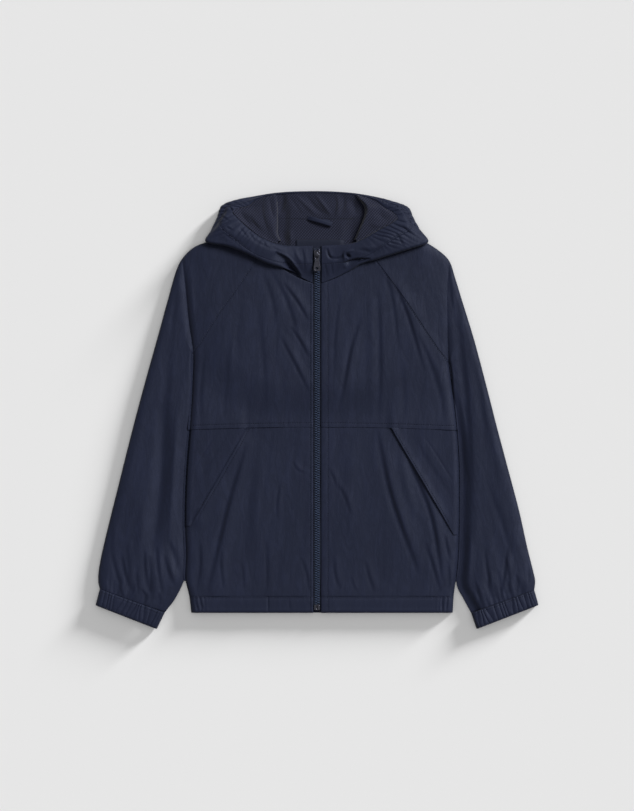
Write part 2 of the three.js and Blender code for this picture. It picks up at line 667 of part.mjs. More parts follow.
function cuff(side) {
  const seamRow = sleeves[side].at(-1);
  const ends = cuffEnds[side];
  const height = 9.2;
  const waves = 12;
  const rise = 0.9;
  const along = seam / 22;
  const columns = [...spread(48).map((t) => t), 1.33, 1.66, ...spread(6, 2, 3), 3.5];
  return clothWall({
    name: `cuff_${side}`,
    cloth: 'casing',
    us: columns,
    vs: [0, 0.5, 1],
    at: (u, v) => {
      const share = THREE.MathUtils.lerp(along, 1, v);
      const inner = flat(seamRow.frontX, seamRow.frontY).lerp(flat(ends.innerX, ends.innerY), share);
      const outer = flat(seamRow.outerX, seamRow.outerY).lerp(flat(ends.outerX, ends.outerY), share);
      const width = inner.distanceTo(outer);
      const turn = 3.6 / width;
      const middle = height * 0.42;
      let place = 0;
      let z = 0;
      if (u <= 1) {
        place = u;
        const side01 = Math.min(rounded(u * width, 7), rounded((1 - u) * width, 7));
        const wave = rise * Math.sin(2 * Math.PI * waves * u) * side01;
        z = middle + (height - middle) * side01 + wave;
      } else if (u < 2) {
        const angle = ((u - 1) * Math.PI) / 2;
        place = 1 - turn * (1 - Math.cos(angle));
        z = middle * (1 - Math.sin(angle));
      } else if (u <= 3) {
        place = THREE.MathUtils.lerp(1 - turn, turn, u - 2);
      } else {
        const angle = ((u - 3) * Math.PI) / 2;
        place = turn * (1 - Math.sin(angle));
        z = middle * (1 - Math.cos(angle));
      }
      const point = inner.lerp(outer, place);
      point.z = z;
      return point;
    },
    thick: bandWall,
    facing: frontFacing[side],
    ring: true,
  });
}

// Hood

const readHood = rowReader(hoodStations);
const normalReach = 1; // length either side over which the section's slope is taken

// Section of the hood at a station: up from the rim to the crest, down to the turn, round the edge
// and back under. at(length) gives the point and the way out of the cloth there.
function hoodSection(station) {
  const h = readHood(station);
  const rim = flat(h.rimX, h.rimY);
  const edge = flat(h.edgeX, h.edgeY);
  const reach = rim.distanceTo(edge);
  const low = Math.max(h.low, 0);
  const angle = Math.PI * THREE.MathUtils.clamp(h.turn, 0, 1);
  const radius = Math.min(h.radius, (h.crest - low) / 2);
  const shoulder = low + radius * (1 - Math.cos(angle));
  const turnFrom = reach - radius * Math.sin(Math.min(angle, Math.PI / 2));
  const crestAt = Math.min(crestShare * reach, turnFrom - 0.4);
  const profile = [];
  for (const t of spread(8)) {
    profile.push([crestAt * t, THREE.MathUtils.lerp(h.rim, h.crest, Math.sin((t * Math.PI) / 2))]);
  }
  for (const t of spread(8).slice(1)) {
    const fall = THREE.MathUtils.smoothstep(t, 0, 1);
    profile.push([THREE.MathUtils.lerp(crestAt, turnFrom, t), THREE.MathUtils.lerp(h.crest, shoulder, fall)]);
  }
  if (angle > 0.05) {
    for (const t of spread(8).slice(1)) {
      profile.push([turnFrom + radius * Math.sin(angle * t), shoulder - radius * (1 - Math.cos(angle * t))]);
    }
  }
  if (h.tuck > 1) profile.push([turnFrom - h.tuck, low]);
  const lengths = [0];
  for (let i = 1; i < profile.length; i += 1) {
    lengths.push(lengths[i - 1] + Math.hypot(profile[i][0] - profile[i - 1][0], profile[i][1] - profile[i - 1][1]));
  }
  const total = lengths.at(-1);
  const place = (length) => {
    const goal = THREE.MathUtils.clamp(length, 0, total);
    let i = 1;
    while (i < profile.length - 1 && lengths[i] < goal) i += 1;
    const t = (goal - lengths[i - 1]) / (lengths[i] - lengths[i - 1]);
    return profile[i - 1].map((value, k) => THREE.MathUtils.lerp(value, profile[i][k], t));
  };
  const outward = edge.clone().sub(rim).normalize();
  const at = (length) => {
    const [along, z] = place(length);
    return rim.clone().addScaledVector(outward, along).setZ(z);
  };
  const wayOut = (length) => {
    const [a, b] = [place(length - normalReach), place(length + normalReach)];
    return outward.clone().multiplyScalar(a[1] - b[1]).setZ(b[0] - a[0]).normalize();
  };
  return { at, wayOut, total, casing: Math.min(h.casing, total - 4), gather: h.gather };
}

function hoodWall(name, from, to, steps, part, cloth, thick) {
  const lengthOf = (u, section) => part.length(section, u);
  return clothWall({
    name,
    cloth,
    us: spread(part.steps),
    vs: spread(steps, from, to),
    at: (u, station) => {
      const section = hoodSection(station);
      const point = section.at(lengthOf(u, section));
      if (part.wave) point.z += part.wave(section, u, station);
      return point;
    },
    wayOut: (u, station) => {
      const section = hoodSection(station);
      return section.wayOut(lengthOf(u, section));
    },
    thick,
    facing: -1,
  });
}

const hoodSeam = 0.9; // between panel and casing: the curve closes it on the inside
const hoodPanel = {
  steps: 8,
  length: (s, u) => THREE.MathUtils.lerp(s.casing > 1 ? s.casing + hoodSeam : 0, s.total, u),
};
const hoodCasing = {
  steps: 3,
  length: (s, u) => THREE.MathUtils.lerp(0, s.casing, u),
  wave: (s, u, station) => 0.9 * s.gather * Math.sin(2 * Math.PI * station * 2) * Math.sin(Math.PI * u),
};

function hood() {
  const last = hoodStations.length - 1;
  const split = 0.012;
  const { from, to } = crownStations;
  return [
    hoodWall('hood_side_left', 0, from - split, 18, hoodPanel, 'shell', shellWall),
    hoodWall('hood_crown', from + split, to - split, 6, hoodPanel, 'shell', shellWall),
    hoodWall('hood_side_right', to + split, last, 18, hoodPanel, 'shell', shellWall),
    hoodWall('hood_casing_left', 0, casingStations.left, 24, hoodCasing, 'casing', casingWall),
    hoodWall('hood_casing_right', casingStations.right, last, 24, hoodCasing, 'casing', casingWall),
  ];
}

// Lining of one side of the hood: from the rim, hanging, up to the fold's ridge and down
function hoodLining(side) {
  const read = rowReader(liningFolds[side]);
  const last = liningFolds[side].length - 1;
  const inwardGap = 0.9;
  return clothWall({
    name: `hood_lining_${side}`,
    cloth: 'lining',
    us: spread(8),
    vs: spread(12, 0, last),
    at: (u, v) => {
      const row = read(v);
      const station = readHood(row.station);
      const ridge = flat(row.ridgeX, row.ridgeY);
      const rim = flat(station.rimX, station.rimY);
      const gap = rim.distanceTo(ridge);
      rim.lerp(ridge, Math.min(inwardGap / gap, 0.4));
      const slope = 0.72;
      if (u <= slope) {
        const t = u / slope;
        const point = rim.lerp(ridge, t);
        const hang = liningSag * Math.sin(Math.PI * t) * Math.min(1, gap / 20);
        point.z = THREE.MathUtils.lerp(station.rim - 0.3, row.ridge, t) - hang;
        return point;
      }
      const angle = (((u - slope) / (1 - slope)) * Math.PI) / 2;
      const point = ridge.clone();
      point.x -= sign[side] * 3.4 * Math.sin(angle);
      point.z = liningFoot + (row.ridge - liningFoot) * Math.cos(angle);
      return point;
    },
    thick: liningWall,
    facing: side === 'left' ? -1 : 1,
  });
}

function hoodLiningMiddle() {
  const neckY = sleeves.left[0].backY + seam;
  const topLeft = flat(-55.5, 279.5);
  const topRight = flat(39.6, 280.2);
  const bow = 5;
  const at = patch({
    near: (v) => flat(-55, neckY).lerp(topLeft, v),
    far: (v) => flat(58, neckY).lerp(topRight, v),
    bottom: (u) => flat(THREE.MathUtils.lerp(-55, 58, u), neckY),
    top: (u) => topLeft.clone().lerp(topRight, u).add(flat(0, bow * Math.sin(Math.PI * u))),
  });
  return clothWall({
    name: 'hood_lining_middle',
    cloth: 'lining',
    us: spread(10),
    vs: spread(4),
    at: (u, v) => {
      const point = at(u, v);
      point.z = THREE.MathUtils.lerp(bedHeight + liningFace, liningTop, v);
      return point;
    },
    thick: liningWall,
    facing: 1,
  });
}

// The hidden layers of the hood, pressed flat under the back
function hoodFoldedUnder() {
  const { left, right, top, foot, topCorner, footCorner } = foldedHood;
  const arcs = [
    [right - footCorner, foot + footCorner, footCorner, -90],
    [right - topCorner, top - topCorner, topCorner, 0],
    [left + topCorner, top - topCorner, topCorner, 90],
    [left + footCorner, foot + footCorner, footCorner, 180],
  ];
  const ring = (inset, z) => arcs.flatMap(([x, y, radius, start]) => spread(7).map((t) => {
    const angle = THREE.MathUtils.degToRad(start + 90 * t);
    return [x + (radius - inset) * Math.cos(angle), y + (radius - inset) * Math.sin(angle), z];
  }));
  const layers = [[1.2, 0], [0, 0.8], [1.4, 1.6], [0.6, 2.2], [3, 2.8], [12, foldedHeight]];
  const rings = layers.map(([inset, z]) => ring(inset, z));
  const count = rings[0].length;
  const positions = rings.flat(2);
  const indices = [];
  for (let k = 0; k < rings.length - 1; k += 1) {
    for (let j = 0; j < count; j += 1) {
      const a = k * count + j;
      const b = k * count + ((j + 1) % count);
      indices.push(a, b, b + count, a, b + count, a + count);
    }
  }
  const cap = (k) => {
    const centre = positions.length / 3;
    positions.push((left + right) / 2, (top + foot) / 2, layers[k][1]);
    for (let j = 0; j < count; j += 1) {
      const a = k * count + j;
      const b = k * count + ((j + 1) % count);
      indices.push(...(k === 0 ? [centre, b, a] : [centre, a, b]));
    }
  };
  cap(0);
  cap(rings.length - 1);
  return meshFrom('hood_folded_under', 'shell', positions, indices);
}

// Inside of the back neck

const liningFace = shellWall + layerGap + liningWall; // over the bed

function neckPanel(name, cloth, box, lift, thick) {
  return clothWall({
    name,
    cloth,
    us: spread(6),
    vs: spread(3),
    at: (u, v) => {
      const point = flat(THREE.MathUtils.lerp(box.left, box.right, u), THREE.MathUtils.lerp(box.foot, box.top, v));
      point.z = bed(point.x, point.y) + lift;
      return point;
    },
    thick,
    facing: 1,
  });
}

function hangerLoop() {
  const wall = 0.9;
  const width = 5.5;
  const seat = bedHeight + liningFace + layerGap + wall;
  const path = new THREE.CatmullRomCurve3([
    new THREE.Vector3(-10.5, 254.5, seat),
    new THREE.Vector3(-6, 253.4, seat + 2.4),
    new THREE.Vector3(6, 250.4, seat + 4),
    new THREE.Vector3(17, 248.6, seat + 3.6),
    new THREE.Vector3(23.5, 250.2, seat + 0.4),
  ]);
  return clothWall({
    name: 'hanger_loop',
    cloth: 'casing',
    us: spread(10),
    vs: [0, 1],
    at: (u, v) => path.getPoint(u).add(flat(0, (v - 0.5) * width)),
    thick: wall,
    facing: 1,
  });
}

// Zip

const zipSteps = [zipFoot, -150, ...upperRows.map((v) => THREE.MathUtils.lerp(yokeSeam, neckAtZip, v)),
  180, 195, zipTop];
const tapeFace = (y) => placketHeight(y) - casingWall - layerGap;

function zipTape(side) {
  return clothWall({
    name: `zip_tape_${side}`,
    cloth: 'zip',
    us: [0, 1],
    vs: zipSteps,
    at: (u, y) => new THREE.Vector3(sign[side] * THREE.MathUtils.lerp(chainHalf + 0.3, tapeWidth, u), y, tapeFace(y)),
    thick: tapeWall,
    facing: -frontFacing[side],
  });
}

const sliderLength = 11;
const sliderFoot = zipTop - 3 - sliderLength;

function zipChain() {
  const steps = [...zipSteps.filter((y) => y > zipFoot + 7 && y < sliderFoot), sliderFoot - 0.4];
  return clothWall({
    name: 'zip_chain',
    cloth: 'zip',
    us: [-chainHalf, -chainHalf * 0.7, chainHalf * 0.7, chainHalf],
    vs: [zipFoot + 6.4, ...steps],
    at: (x, y) => new THREE.Vector3(x, y, tapeFace(y) + chainRise - (Math.abs(x) > 2.5 ? 0.8 : 0)),
    thick: 1.9,
    facing: 1,
    level: () => false,
  });
}

function solidFrom(geometry) {
  const plain = geometry.clone();
  plain.deleteAttribute('normal');
  plain.deleteAttribute('uv');
  const merged = mergeVertices(plain, 1e-4);
  return new wasm.Manifold(new wasm.Mesh({
    numProp: 3,
    vertProperties: Float32Array.from(merged.attributes.position.array),
    triVerts: Uint32Array.from(merged.index.array),
  }));
}

function meshOf(name, cloth, solid) {
  const { vertProperties, triVerts } = solid.getMesh();
  return meshFrom(name, cloth, Array.from(vertProperties), Array.from(triVerts));
}

function plate(points, holes, depth) {
  const shape = new THREE.Shape(points.map(([x, y]) => new THREE.Vector2(x, y)));
  for (const hole of holes) shape.holes.push(new THREE.Path(hole.map(([x, y]) => new THREE.Vector2(x, y))));
  return new THREE.ExtrudeGeometry(shape, { depth, bevelEnabled: false, curveSegments: 6 });
}

// The slider's plate, the bridge on it, and the room under the bridge for the pull's bar
const slider = { plateHeight: 3.6, bridgeHalf: 1.5, bridgeReach: 3.6, bridgeFoot: 1.1, tunnel: 2.6, bridgeTop: 0.8 };
const sliderSeat = Math.max(tapeFace(zipTop), tapeFace(sliderFoot)) + 0.35;
const sliderMiddle = sliderFoot + sliderLength / 2;
const pivot = new THREE.Vector3(0, sliderMiddle, sliderSeat + slider.plateHeight + slider.tunnel / 2);

function zipSlider() {
  const half = sliderLength / 2;
  const outline = [[-3, -half], [3, -half], [3.6, -half + 2], [4.6, half - 2.4], [3.6, half], [-3.6, half],
    [-4.6, half - 2.4], [-3.6, -half + 2]];
  const body = solidFrom(plate(outline, [], slider.plateHeight).translate(0, sliderMiddle, sliderSeat));
  const { bridgeReach: r, bridgeFoot: f, tunnel, bridgeTop, bridgeHalf } = slider;
  const arch = [[-r, -0.4], [-r + f, -0.4], [-r + f, tunnel], [r - f, tunnel], [r - f, -0.4], [r, -0.4],
    [r, tunnel * 0.75], [r - 1, tunnel + bridgeTop], [-r + 1, tunnel + bridgeTop], [-r, tunnel * 0.75]];
  const bridge = plate(arch, [], 2 * bridgeHalf).translate(0, 0, -bridgeHalf);
  bridge.rotateY(Math.PI / 2).rotateX(Math.PI / 2);
  bridge.translate(0, sliderMiddle, sliderSeat + slider.plateHeight);
  return meshOf('zip_slider', 'metal', body.add(solidFrom(bridge)));
}

// The pull is a flat loop whose top bar lies under the bridge; it hangs towards the hem
const pull = { length: 23, barHalf: 0.8, wall: 1.4, hole: 6.2, topHalf: 3.4, footHalf: 4.6, slot: 1.95 };

function zipPull() {
  const { length, barHalf, wall, hole, topHalf, footHalf, slot } = pull;
  const outline = [[-topHalf + 0.6, barHalf], [topHalf - 0.6, barHalf], [topHalf, -0.2], [topHalf, -hole - 1],
    [footHalf, -length * 0.62], [footHalf, -length + 1.2], [footHalf - 1.2, -length], [-footHalf + 1.2, -length],
    [-footHalf, -length + 1.2], [-footHalf, -length * 0.62], [-topHalf, -hole - 1], [-topHalf, -0.2]];
  const eye = [[-slot, -barHalf], [-slot, -hole], [slot, -hole], [slot, -barHalf]];
  const window = [[-1.9, -length + 2.2], [1.9, -length + 2.2], [1.9, -length + 5.6], [-1.9, -length + 5.6]];
  const geometry = plate(outline, [eye, window], wall).translate(0, 0, -wall / 2);
  const mesh = new THREE.Mesh(geometry, cloths.metal);
  mesh.name = 'zip_pull';
  mesh.position.copy(pivot);
  return mesh;
}

function zipBox() {
  const top = zipFoot + 6;
  const outline = [[-4.2, zipFoot - 1.6], [4.2, zipFoot - 1.6], [4.2, top - 1], [3.6, top], [-3.6, top], [-4.2, top - 1]];
  const seat = tapeFace(zipFoot) + 0.35;
  return meshOf('zip_box', 'metal', solidFrom(plate(outline, [], 2.4).translate(0, 0, seat)));
}

function windbreaker() {
  const garment = new THREE.Group();
  for (const side of ['left', 'right']) {
    garment.add(frontUpper(side), frontLower(side), pocketFlap(side), hemFront(side));
    garment.add(sleeve(side), cuff(side), hoodLining(side), zipTape(side));
  }
  garment.add(back(), hemBack(), ...hood(), hoodLiningMiddle(), hoodFoldedUnder());
  garment.add(neckPanel('back_lining', 'lining', { left: -56, right: 57, foot: 198, top: 257 }, liningFace, liningWall));
  garment.add(neckPanel('neck_facing', 'casing', { left: -28, right: 38, foot: 204, top: 229.5 }, liningFace + 1.3, 0.9));
  garment.add(hangerLoop(), zipChain(), zipSlider(), zipPull(), zipBox());
  return garment;
}

export default windbreaker();
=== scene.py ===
import bpy
import json
import math
import numpy as np
from mathutils import Matrix

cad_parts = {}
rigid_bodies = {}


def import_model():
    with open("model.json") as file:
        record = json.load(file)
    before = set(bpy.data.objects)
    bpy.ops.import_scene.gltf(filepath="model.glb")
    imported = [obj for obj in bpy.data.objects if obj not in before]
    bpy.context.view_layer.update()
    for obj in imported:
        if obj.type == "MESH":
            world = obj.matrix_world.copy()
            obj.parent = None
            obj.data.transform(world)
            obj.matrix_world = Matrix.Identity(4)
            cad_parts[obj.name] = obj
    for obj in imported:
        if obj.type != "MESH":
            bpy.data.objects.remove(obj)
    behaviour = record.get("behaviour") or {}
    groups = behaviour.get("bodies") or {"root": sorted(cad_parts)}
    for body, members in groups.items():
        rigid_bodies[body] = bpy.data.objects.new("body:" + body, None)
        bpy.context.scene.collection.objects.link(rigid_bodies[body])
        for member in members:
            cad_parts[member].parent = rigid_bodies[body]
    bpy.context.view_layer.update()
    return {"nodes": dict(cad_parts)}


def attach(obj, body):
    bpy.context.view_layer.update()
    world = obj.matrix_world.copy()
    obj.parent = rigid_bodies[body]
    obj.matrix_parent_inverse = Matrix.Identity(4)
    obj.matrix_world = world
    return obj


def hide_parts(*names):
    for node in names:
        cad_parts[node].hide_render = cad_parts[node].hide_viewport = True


# A child's windbreaker laid flat, seen from straight above.
# Tables and sizes are in millimetres; meshes are made in metres by mm.

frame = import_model()
print("frame loaded:", len(frame["nodes"]), "nodes")

mm = 0.001

cloth = {
    "shellWall": 1.9,  # nylon with the lining behind it
    "liningWall": 1.0,
    "casingWall": 2.2,
    "bandWall": 2.3,
    "flapWall": 1.2,
    "layerGap": 0.4,
    "grid": 1.7,  # spacing of the mesh on the panels
    "seamGap": -0.2,  # edges lap by this much, as sewn
    "seamDip": 0.55,  # how far an edge turns down into its seam
    "seamPuff": 0.1,  # fullness beside a seam
    "stitchDip": 0.18,
    "lap": 0.5,  # how far a topstitched edge lies over its neighbour
    "lapRise": 0.6,
    "lapReach": 15,
}

# Scene, light and camera

studio = {
    "pixelSize": 1.35,  # one pixel of the picture, in mm
    "imageSize": (634, 811),
    "imageCentre": (0.0, 6.1),  # what the middle of the picture looks at, mm
    "lens": 110.0,
    "floorColour": (0.818, 0.818, 0.818),
    "floorHalf": 12.0,  # metres
    "floorLevel": -0.0003,
    "skyStrength": 0.40,
    "skyLean": 0.35,  # how much brighter the sky is at the upper right
    "keyStrength": 4.3,  # lights the garment alone, the floor keeps its even tone
    "keyHeight": 42,  # degrees above the floor
    "keySoftness": 24,
    "keyFrom": 40,  # degrees from the right, turning to the top of the picture
    "shadowStrength": 8.3,  # low lamp that only reaches the floor, for the long soft shadow
    "shadowHeight": 8.7,
    "shadowSoftness": 10,
    "shadowFrom": 42,
    "fillStrength": 0.53,  # from straight above, on the floor only
}


def placeObject(name, data):
    made = bpy.data.objects.new(name, data)
    bpy.context.collection.objects.link(made)
    return made


def makeLamp(name, strength, height, softness, comesFrom):
    data = bpy.data.lights.new(name, "SUN")
    data.energy, data.angle = strength, math.radians(softness)
    lamp = placeObject(name, data)
    lamp.rotation_euler = (0.0, math.radians(90 - height), math.radians(comesFrom))
    lamp.location = (0.8, 0.8, 1.0)
    return lamp


def makeSky():
    # white, a little brighter towards the upper right
    world = bpy.data.worlds.new("softWhite")
    bpy.context.scene.world = world
    world.use_nodes = True
    tree = world.node_tree
    tree.nodes["Background"].inputs["Strength"].default_value = studio["skyStrength"]
    direction = tree.nodes.new("ShaderNodeTexCoord").outputs["Generated"]
    lean = tree.nodes.new("ShaderNodeVectorMath")
    lean.operation = "DOT_PRODUCT"
    tree.links.new(direction, lean.inputs[0])
    lean.inputs[1].default_value = (0.7, 0.7, 0.0)
    bright = tree.nodes.new("ShaderNodeMapRange")
    tree.links.new(lean.outputs["Value"], bright.inputs["Value"])
    bright.inputs["From Min"].default_value, bright.inputs["From Max"].default_value = -1, 1
    bright.inputs["To Min"].default_value = 1 - studio["skyLean"]
    bright.inputs["To Max"].default_value = 1 + studio["skyLean"]
    tree.links.new(bright.outputs[0], tree.nodes["Background"].inputs["Color"])


garmentOnly = bpy.data.collections.new("garmentOnly")


def makeStudio():
    scene = bpy.context.scene
    scene.view_settings.view_transform = "Standard"
    makeSky()
    half = studio["floorHalf"]
    mesh = bpy.data.meshes.new("floor")
    mesh.from_pydata([(-half, -half, 0), (half, -half, 0), (half, half, 0), (-half, half, 0)], [],
                     [(0, 1, 2, 3)])
    floor = placeObject("floor", mesh)
    floor.location.z = studio["floorLevel"]
    paper = bpy.data.materials.new("paleFloor")
    paper.use_nodes = True
    skin = paper.node_tree.nodes["Principled BSDF"]
    skin.inputs["Base Color"].default_value = (*studio["floorColour"], 1)
    skin.inputs["Roughness"].default_value = 1.0
    skin.inputs["Specular IOR Level"].default_value = 0.0
    mesh.materials.append(paper)

    key = makeLamp("keyLamp", studio["keyStrength"], studio["keyHeight"], studio["keySoftness"],
                   studio["keyFrom"])
    low = makeLamp("shadowLamp", studio["shadowStrength"], studio["shadowHeight"],
                   studio["shadowSoftness"], studio["shadowFrom"])
    floorOnly = bpy.data.collections.new("floorOnly")
    floorOnly.objects.link(floor)
    fill = makeLamp("floorLamp", studio["fillStrength"], 90, 40, 0)
    fill.light_linking.receiver_collection = floorOnly
    low.light_linking.receiver_collection = floorOnly
    key.light_linking.receiver_collection = garmentOnly

    data = bpy.data.cameras.new("camera")
    data.lens = studio["lens"]
    camera = placeObject("camera", data)
    viewHeight = studio["imageSize"][1] * studio["pixelSize"] * mm
    centreX, centreY = studio["imageCentre"]
    camera.location = (centreX * mm, centreY * mm, viewHeight * studio["lens"] / data.sensor_width)
    data.clip_end = 50
    bpy.context.scene.camera = camera


makeStudio()
print("studio ready")

# Tables of the garment's form


def table(columns, rows):
    return [dict(zip(columns, row)) for row in rows]


zipSizes = {
    "slotHalf": 5.0,
    "tapeWidth": 13.0,
    "top": 218.0,
    "foot": -268.0,
    "neck": 170.0,
    "toothPitch": 3.2,
    "chainTop": 203.2,
    "tapeSink": 1.6,  # how far the tape lies below the fronts' folded edges
    "tapeTuck": 1.5,  # and how much further it goes down under them
    "tapeWall": 0.9,
}
heights = {
    "loftBody": 7.9,
    "loftNeck": 6.8,
    "neckFrom": 120,
    "neckTo": 200,
    "edgeSeat": 2.3,
    "sideRadius": 9,
    "outerRadius": 13,
    "foldMiddle": 3.6,
    "foldTuck": 4.6,
    "closeUp": 0.8,
    "lowerRelief": 0.35,  # how much deeper the creases are below the yoke seam
}
seams = {"yoke": -22.5, "yokeDrop": 4, "hem": -250, "hemEdge": -273.4, "armpitRow": 6, "armpitShare": 0.4}
foldedHood = {
    "left": -124, "right": 123, "top": 277, "foot": 50, "topCorner": 48, "footCorner": 88,
    "height": 3.2, "bed": 3.6, "bedFlat": 12, "bedRamp": 55,
}

bodyEdges = table(["y", "left", "right", "foldLeft", "foldRight"], [
    [-274, -169.5, 183.0, 1, 1],
    [-251, -172.3, 184.4, 1, 1],
    [-227, -177.5, 187.4, 1, 1],
    [-197, -176.5, 190.2, 1, 1],
    [-155, -177.9, 191.5, 1, 1],
    [-108, -177.2, 191.9, 1, 1],
    [-61, -174.5, 190.9, 1, 1],
    [-14, -170.5, 187.2, 1, 1],
    [34, -167.8, 181.5, 1, 1],
    [64, -166.6, 177.4, 0.9, 0.9],
    [80, -167.0, 176.6, 0.72, 0.68],
    [121, -173.0, 175.5, 0.7, 0.35],
    [162, -177.0, 175.5, 0.62, 0.25],
    [200, -181.0, 178.2, 0.4, 0.45],
    [240, -183.0, 180.0, 0, 0],
])

sleeveColumns = ["frontX", "frontY", "outerX", "outerY", "backX", "backY", "waves"]
sleeves = {
    "left": table(sleeveColumns, [
        [-71.6, 216.0, -74.3, 261.0, -57.5, 257.9, 0],
        [-90.5, 191.7, -104.0, 246.0, -74.3, 229.5, 0],
        [-110.7, 162.0, -137.7, 230.5, -93.2, 199.8, 0],
        [-128.3, 138.0, -164.7, 220.0, -112.0, 168.8, 0],
        [-144.5, 113.0, -180.9, 205.2, -130.5, 138.0, 0],
        [-157.5, 92.0, -190.4, 186.3, -149.0, 107.0, 0],
        [-167.6, 75.6, -201.2, 148.5, -167.6, 75.6, 0],
        [-168.8, 33.8, -216.0, 94.5, -168.8, 33.8, 0],
        [-171.5, -13.5, -232.2, 36.5, -171.5, -13.5, 0],
        [-175.5, -60.8, -248.4, -24.3, -175.5, -60.8, 0],
        [-178.2, -108.0, -263.3, -83.7, -178.2, -108.0, 0.1],
        [-178.9, -155.3, -276.8, -137.7, -178.9, -155.3, 0.3],
        [-177.5, -197.1, -288.9, -187.7, -177.5, -197.1, 0.6],
        [-178.9, -226.8, -294.3, -216.0, -178.9, -226.8, 0.9],
        [-190.6, -253.0, -295.0, -230.9, -190.6, -253.0, 1],
        [-205.2, -273.0, -293.0, -241.3, -205.2, -273.0, 0.8],
    ]),
    "right": table(sleeveColumns, [
        [71.6, 213.3, 77.0, 261.0, 58.5, 257.9, 0],
        [90.5, 189.0, 108.0, 245.7, 77.0, 228.2, 0],
        [109.4, 163.4, 139.0, 230.0, 95.9, 197.1, 0],
        [126.9, 139.1, 162.0, 216.5, 114.8, 166.1, 0],
        [144.5, 112.1, 178.2, 201.2, 135.0, 132.3, 0],
        [163.4, 84.0, 186.3, 178.2, 157.0, 96.5, 0],
        [178.4, 62.1, 195.8, 147.2, 178.4, 62.1, 0],
        [183.6, 24.3, 212.0, 94.5, 183.6, 24.3, 0],
        [189.0, -20.3, 228.2, 33.8, 189.0, -20.3, 0],
        [192.4, -67.5, 243.0, -24.3, 192.4, -67.5, 0],
        [193.1, -114.8, 258.5, -82.4, 193.1, -114.8, 0.1],
        [192.4, -159.3, 272.7, -136.4, 192.4, -159.3, 0.3],
        [191.0, -202.5, 283.5, -185.0, 191.0, -202.5, 0.6],
        [188.6, -234.9, 291.6, -217.4, 188.6, -234.9, 0.9],
        [197.1, -253.5, 294.2, -230.9, 197.1, -253.5, 1],
        [207.9, -273.7, 293.0, -242.6, 207.9, -273.7, 0.8],
    ]),
}
cuffEnds = {
    "left": {"inner": (-216.0, -295.2), "outer": (-298.6, -263.0)},
    "right": {"inner": (215.2, -295.1), "outer": (298.7, -262.8)},
}
neckSeams = {
    "left": [(-60, 203), (-44.6, 189.5), (-27, 179), (-5.0, 170)],
    "right": [(60, 201), (44.6, 188.5), (27, 178.5), (5.0, 170)],
}

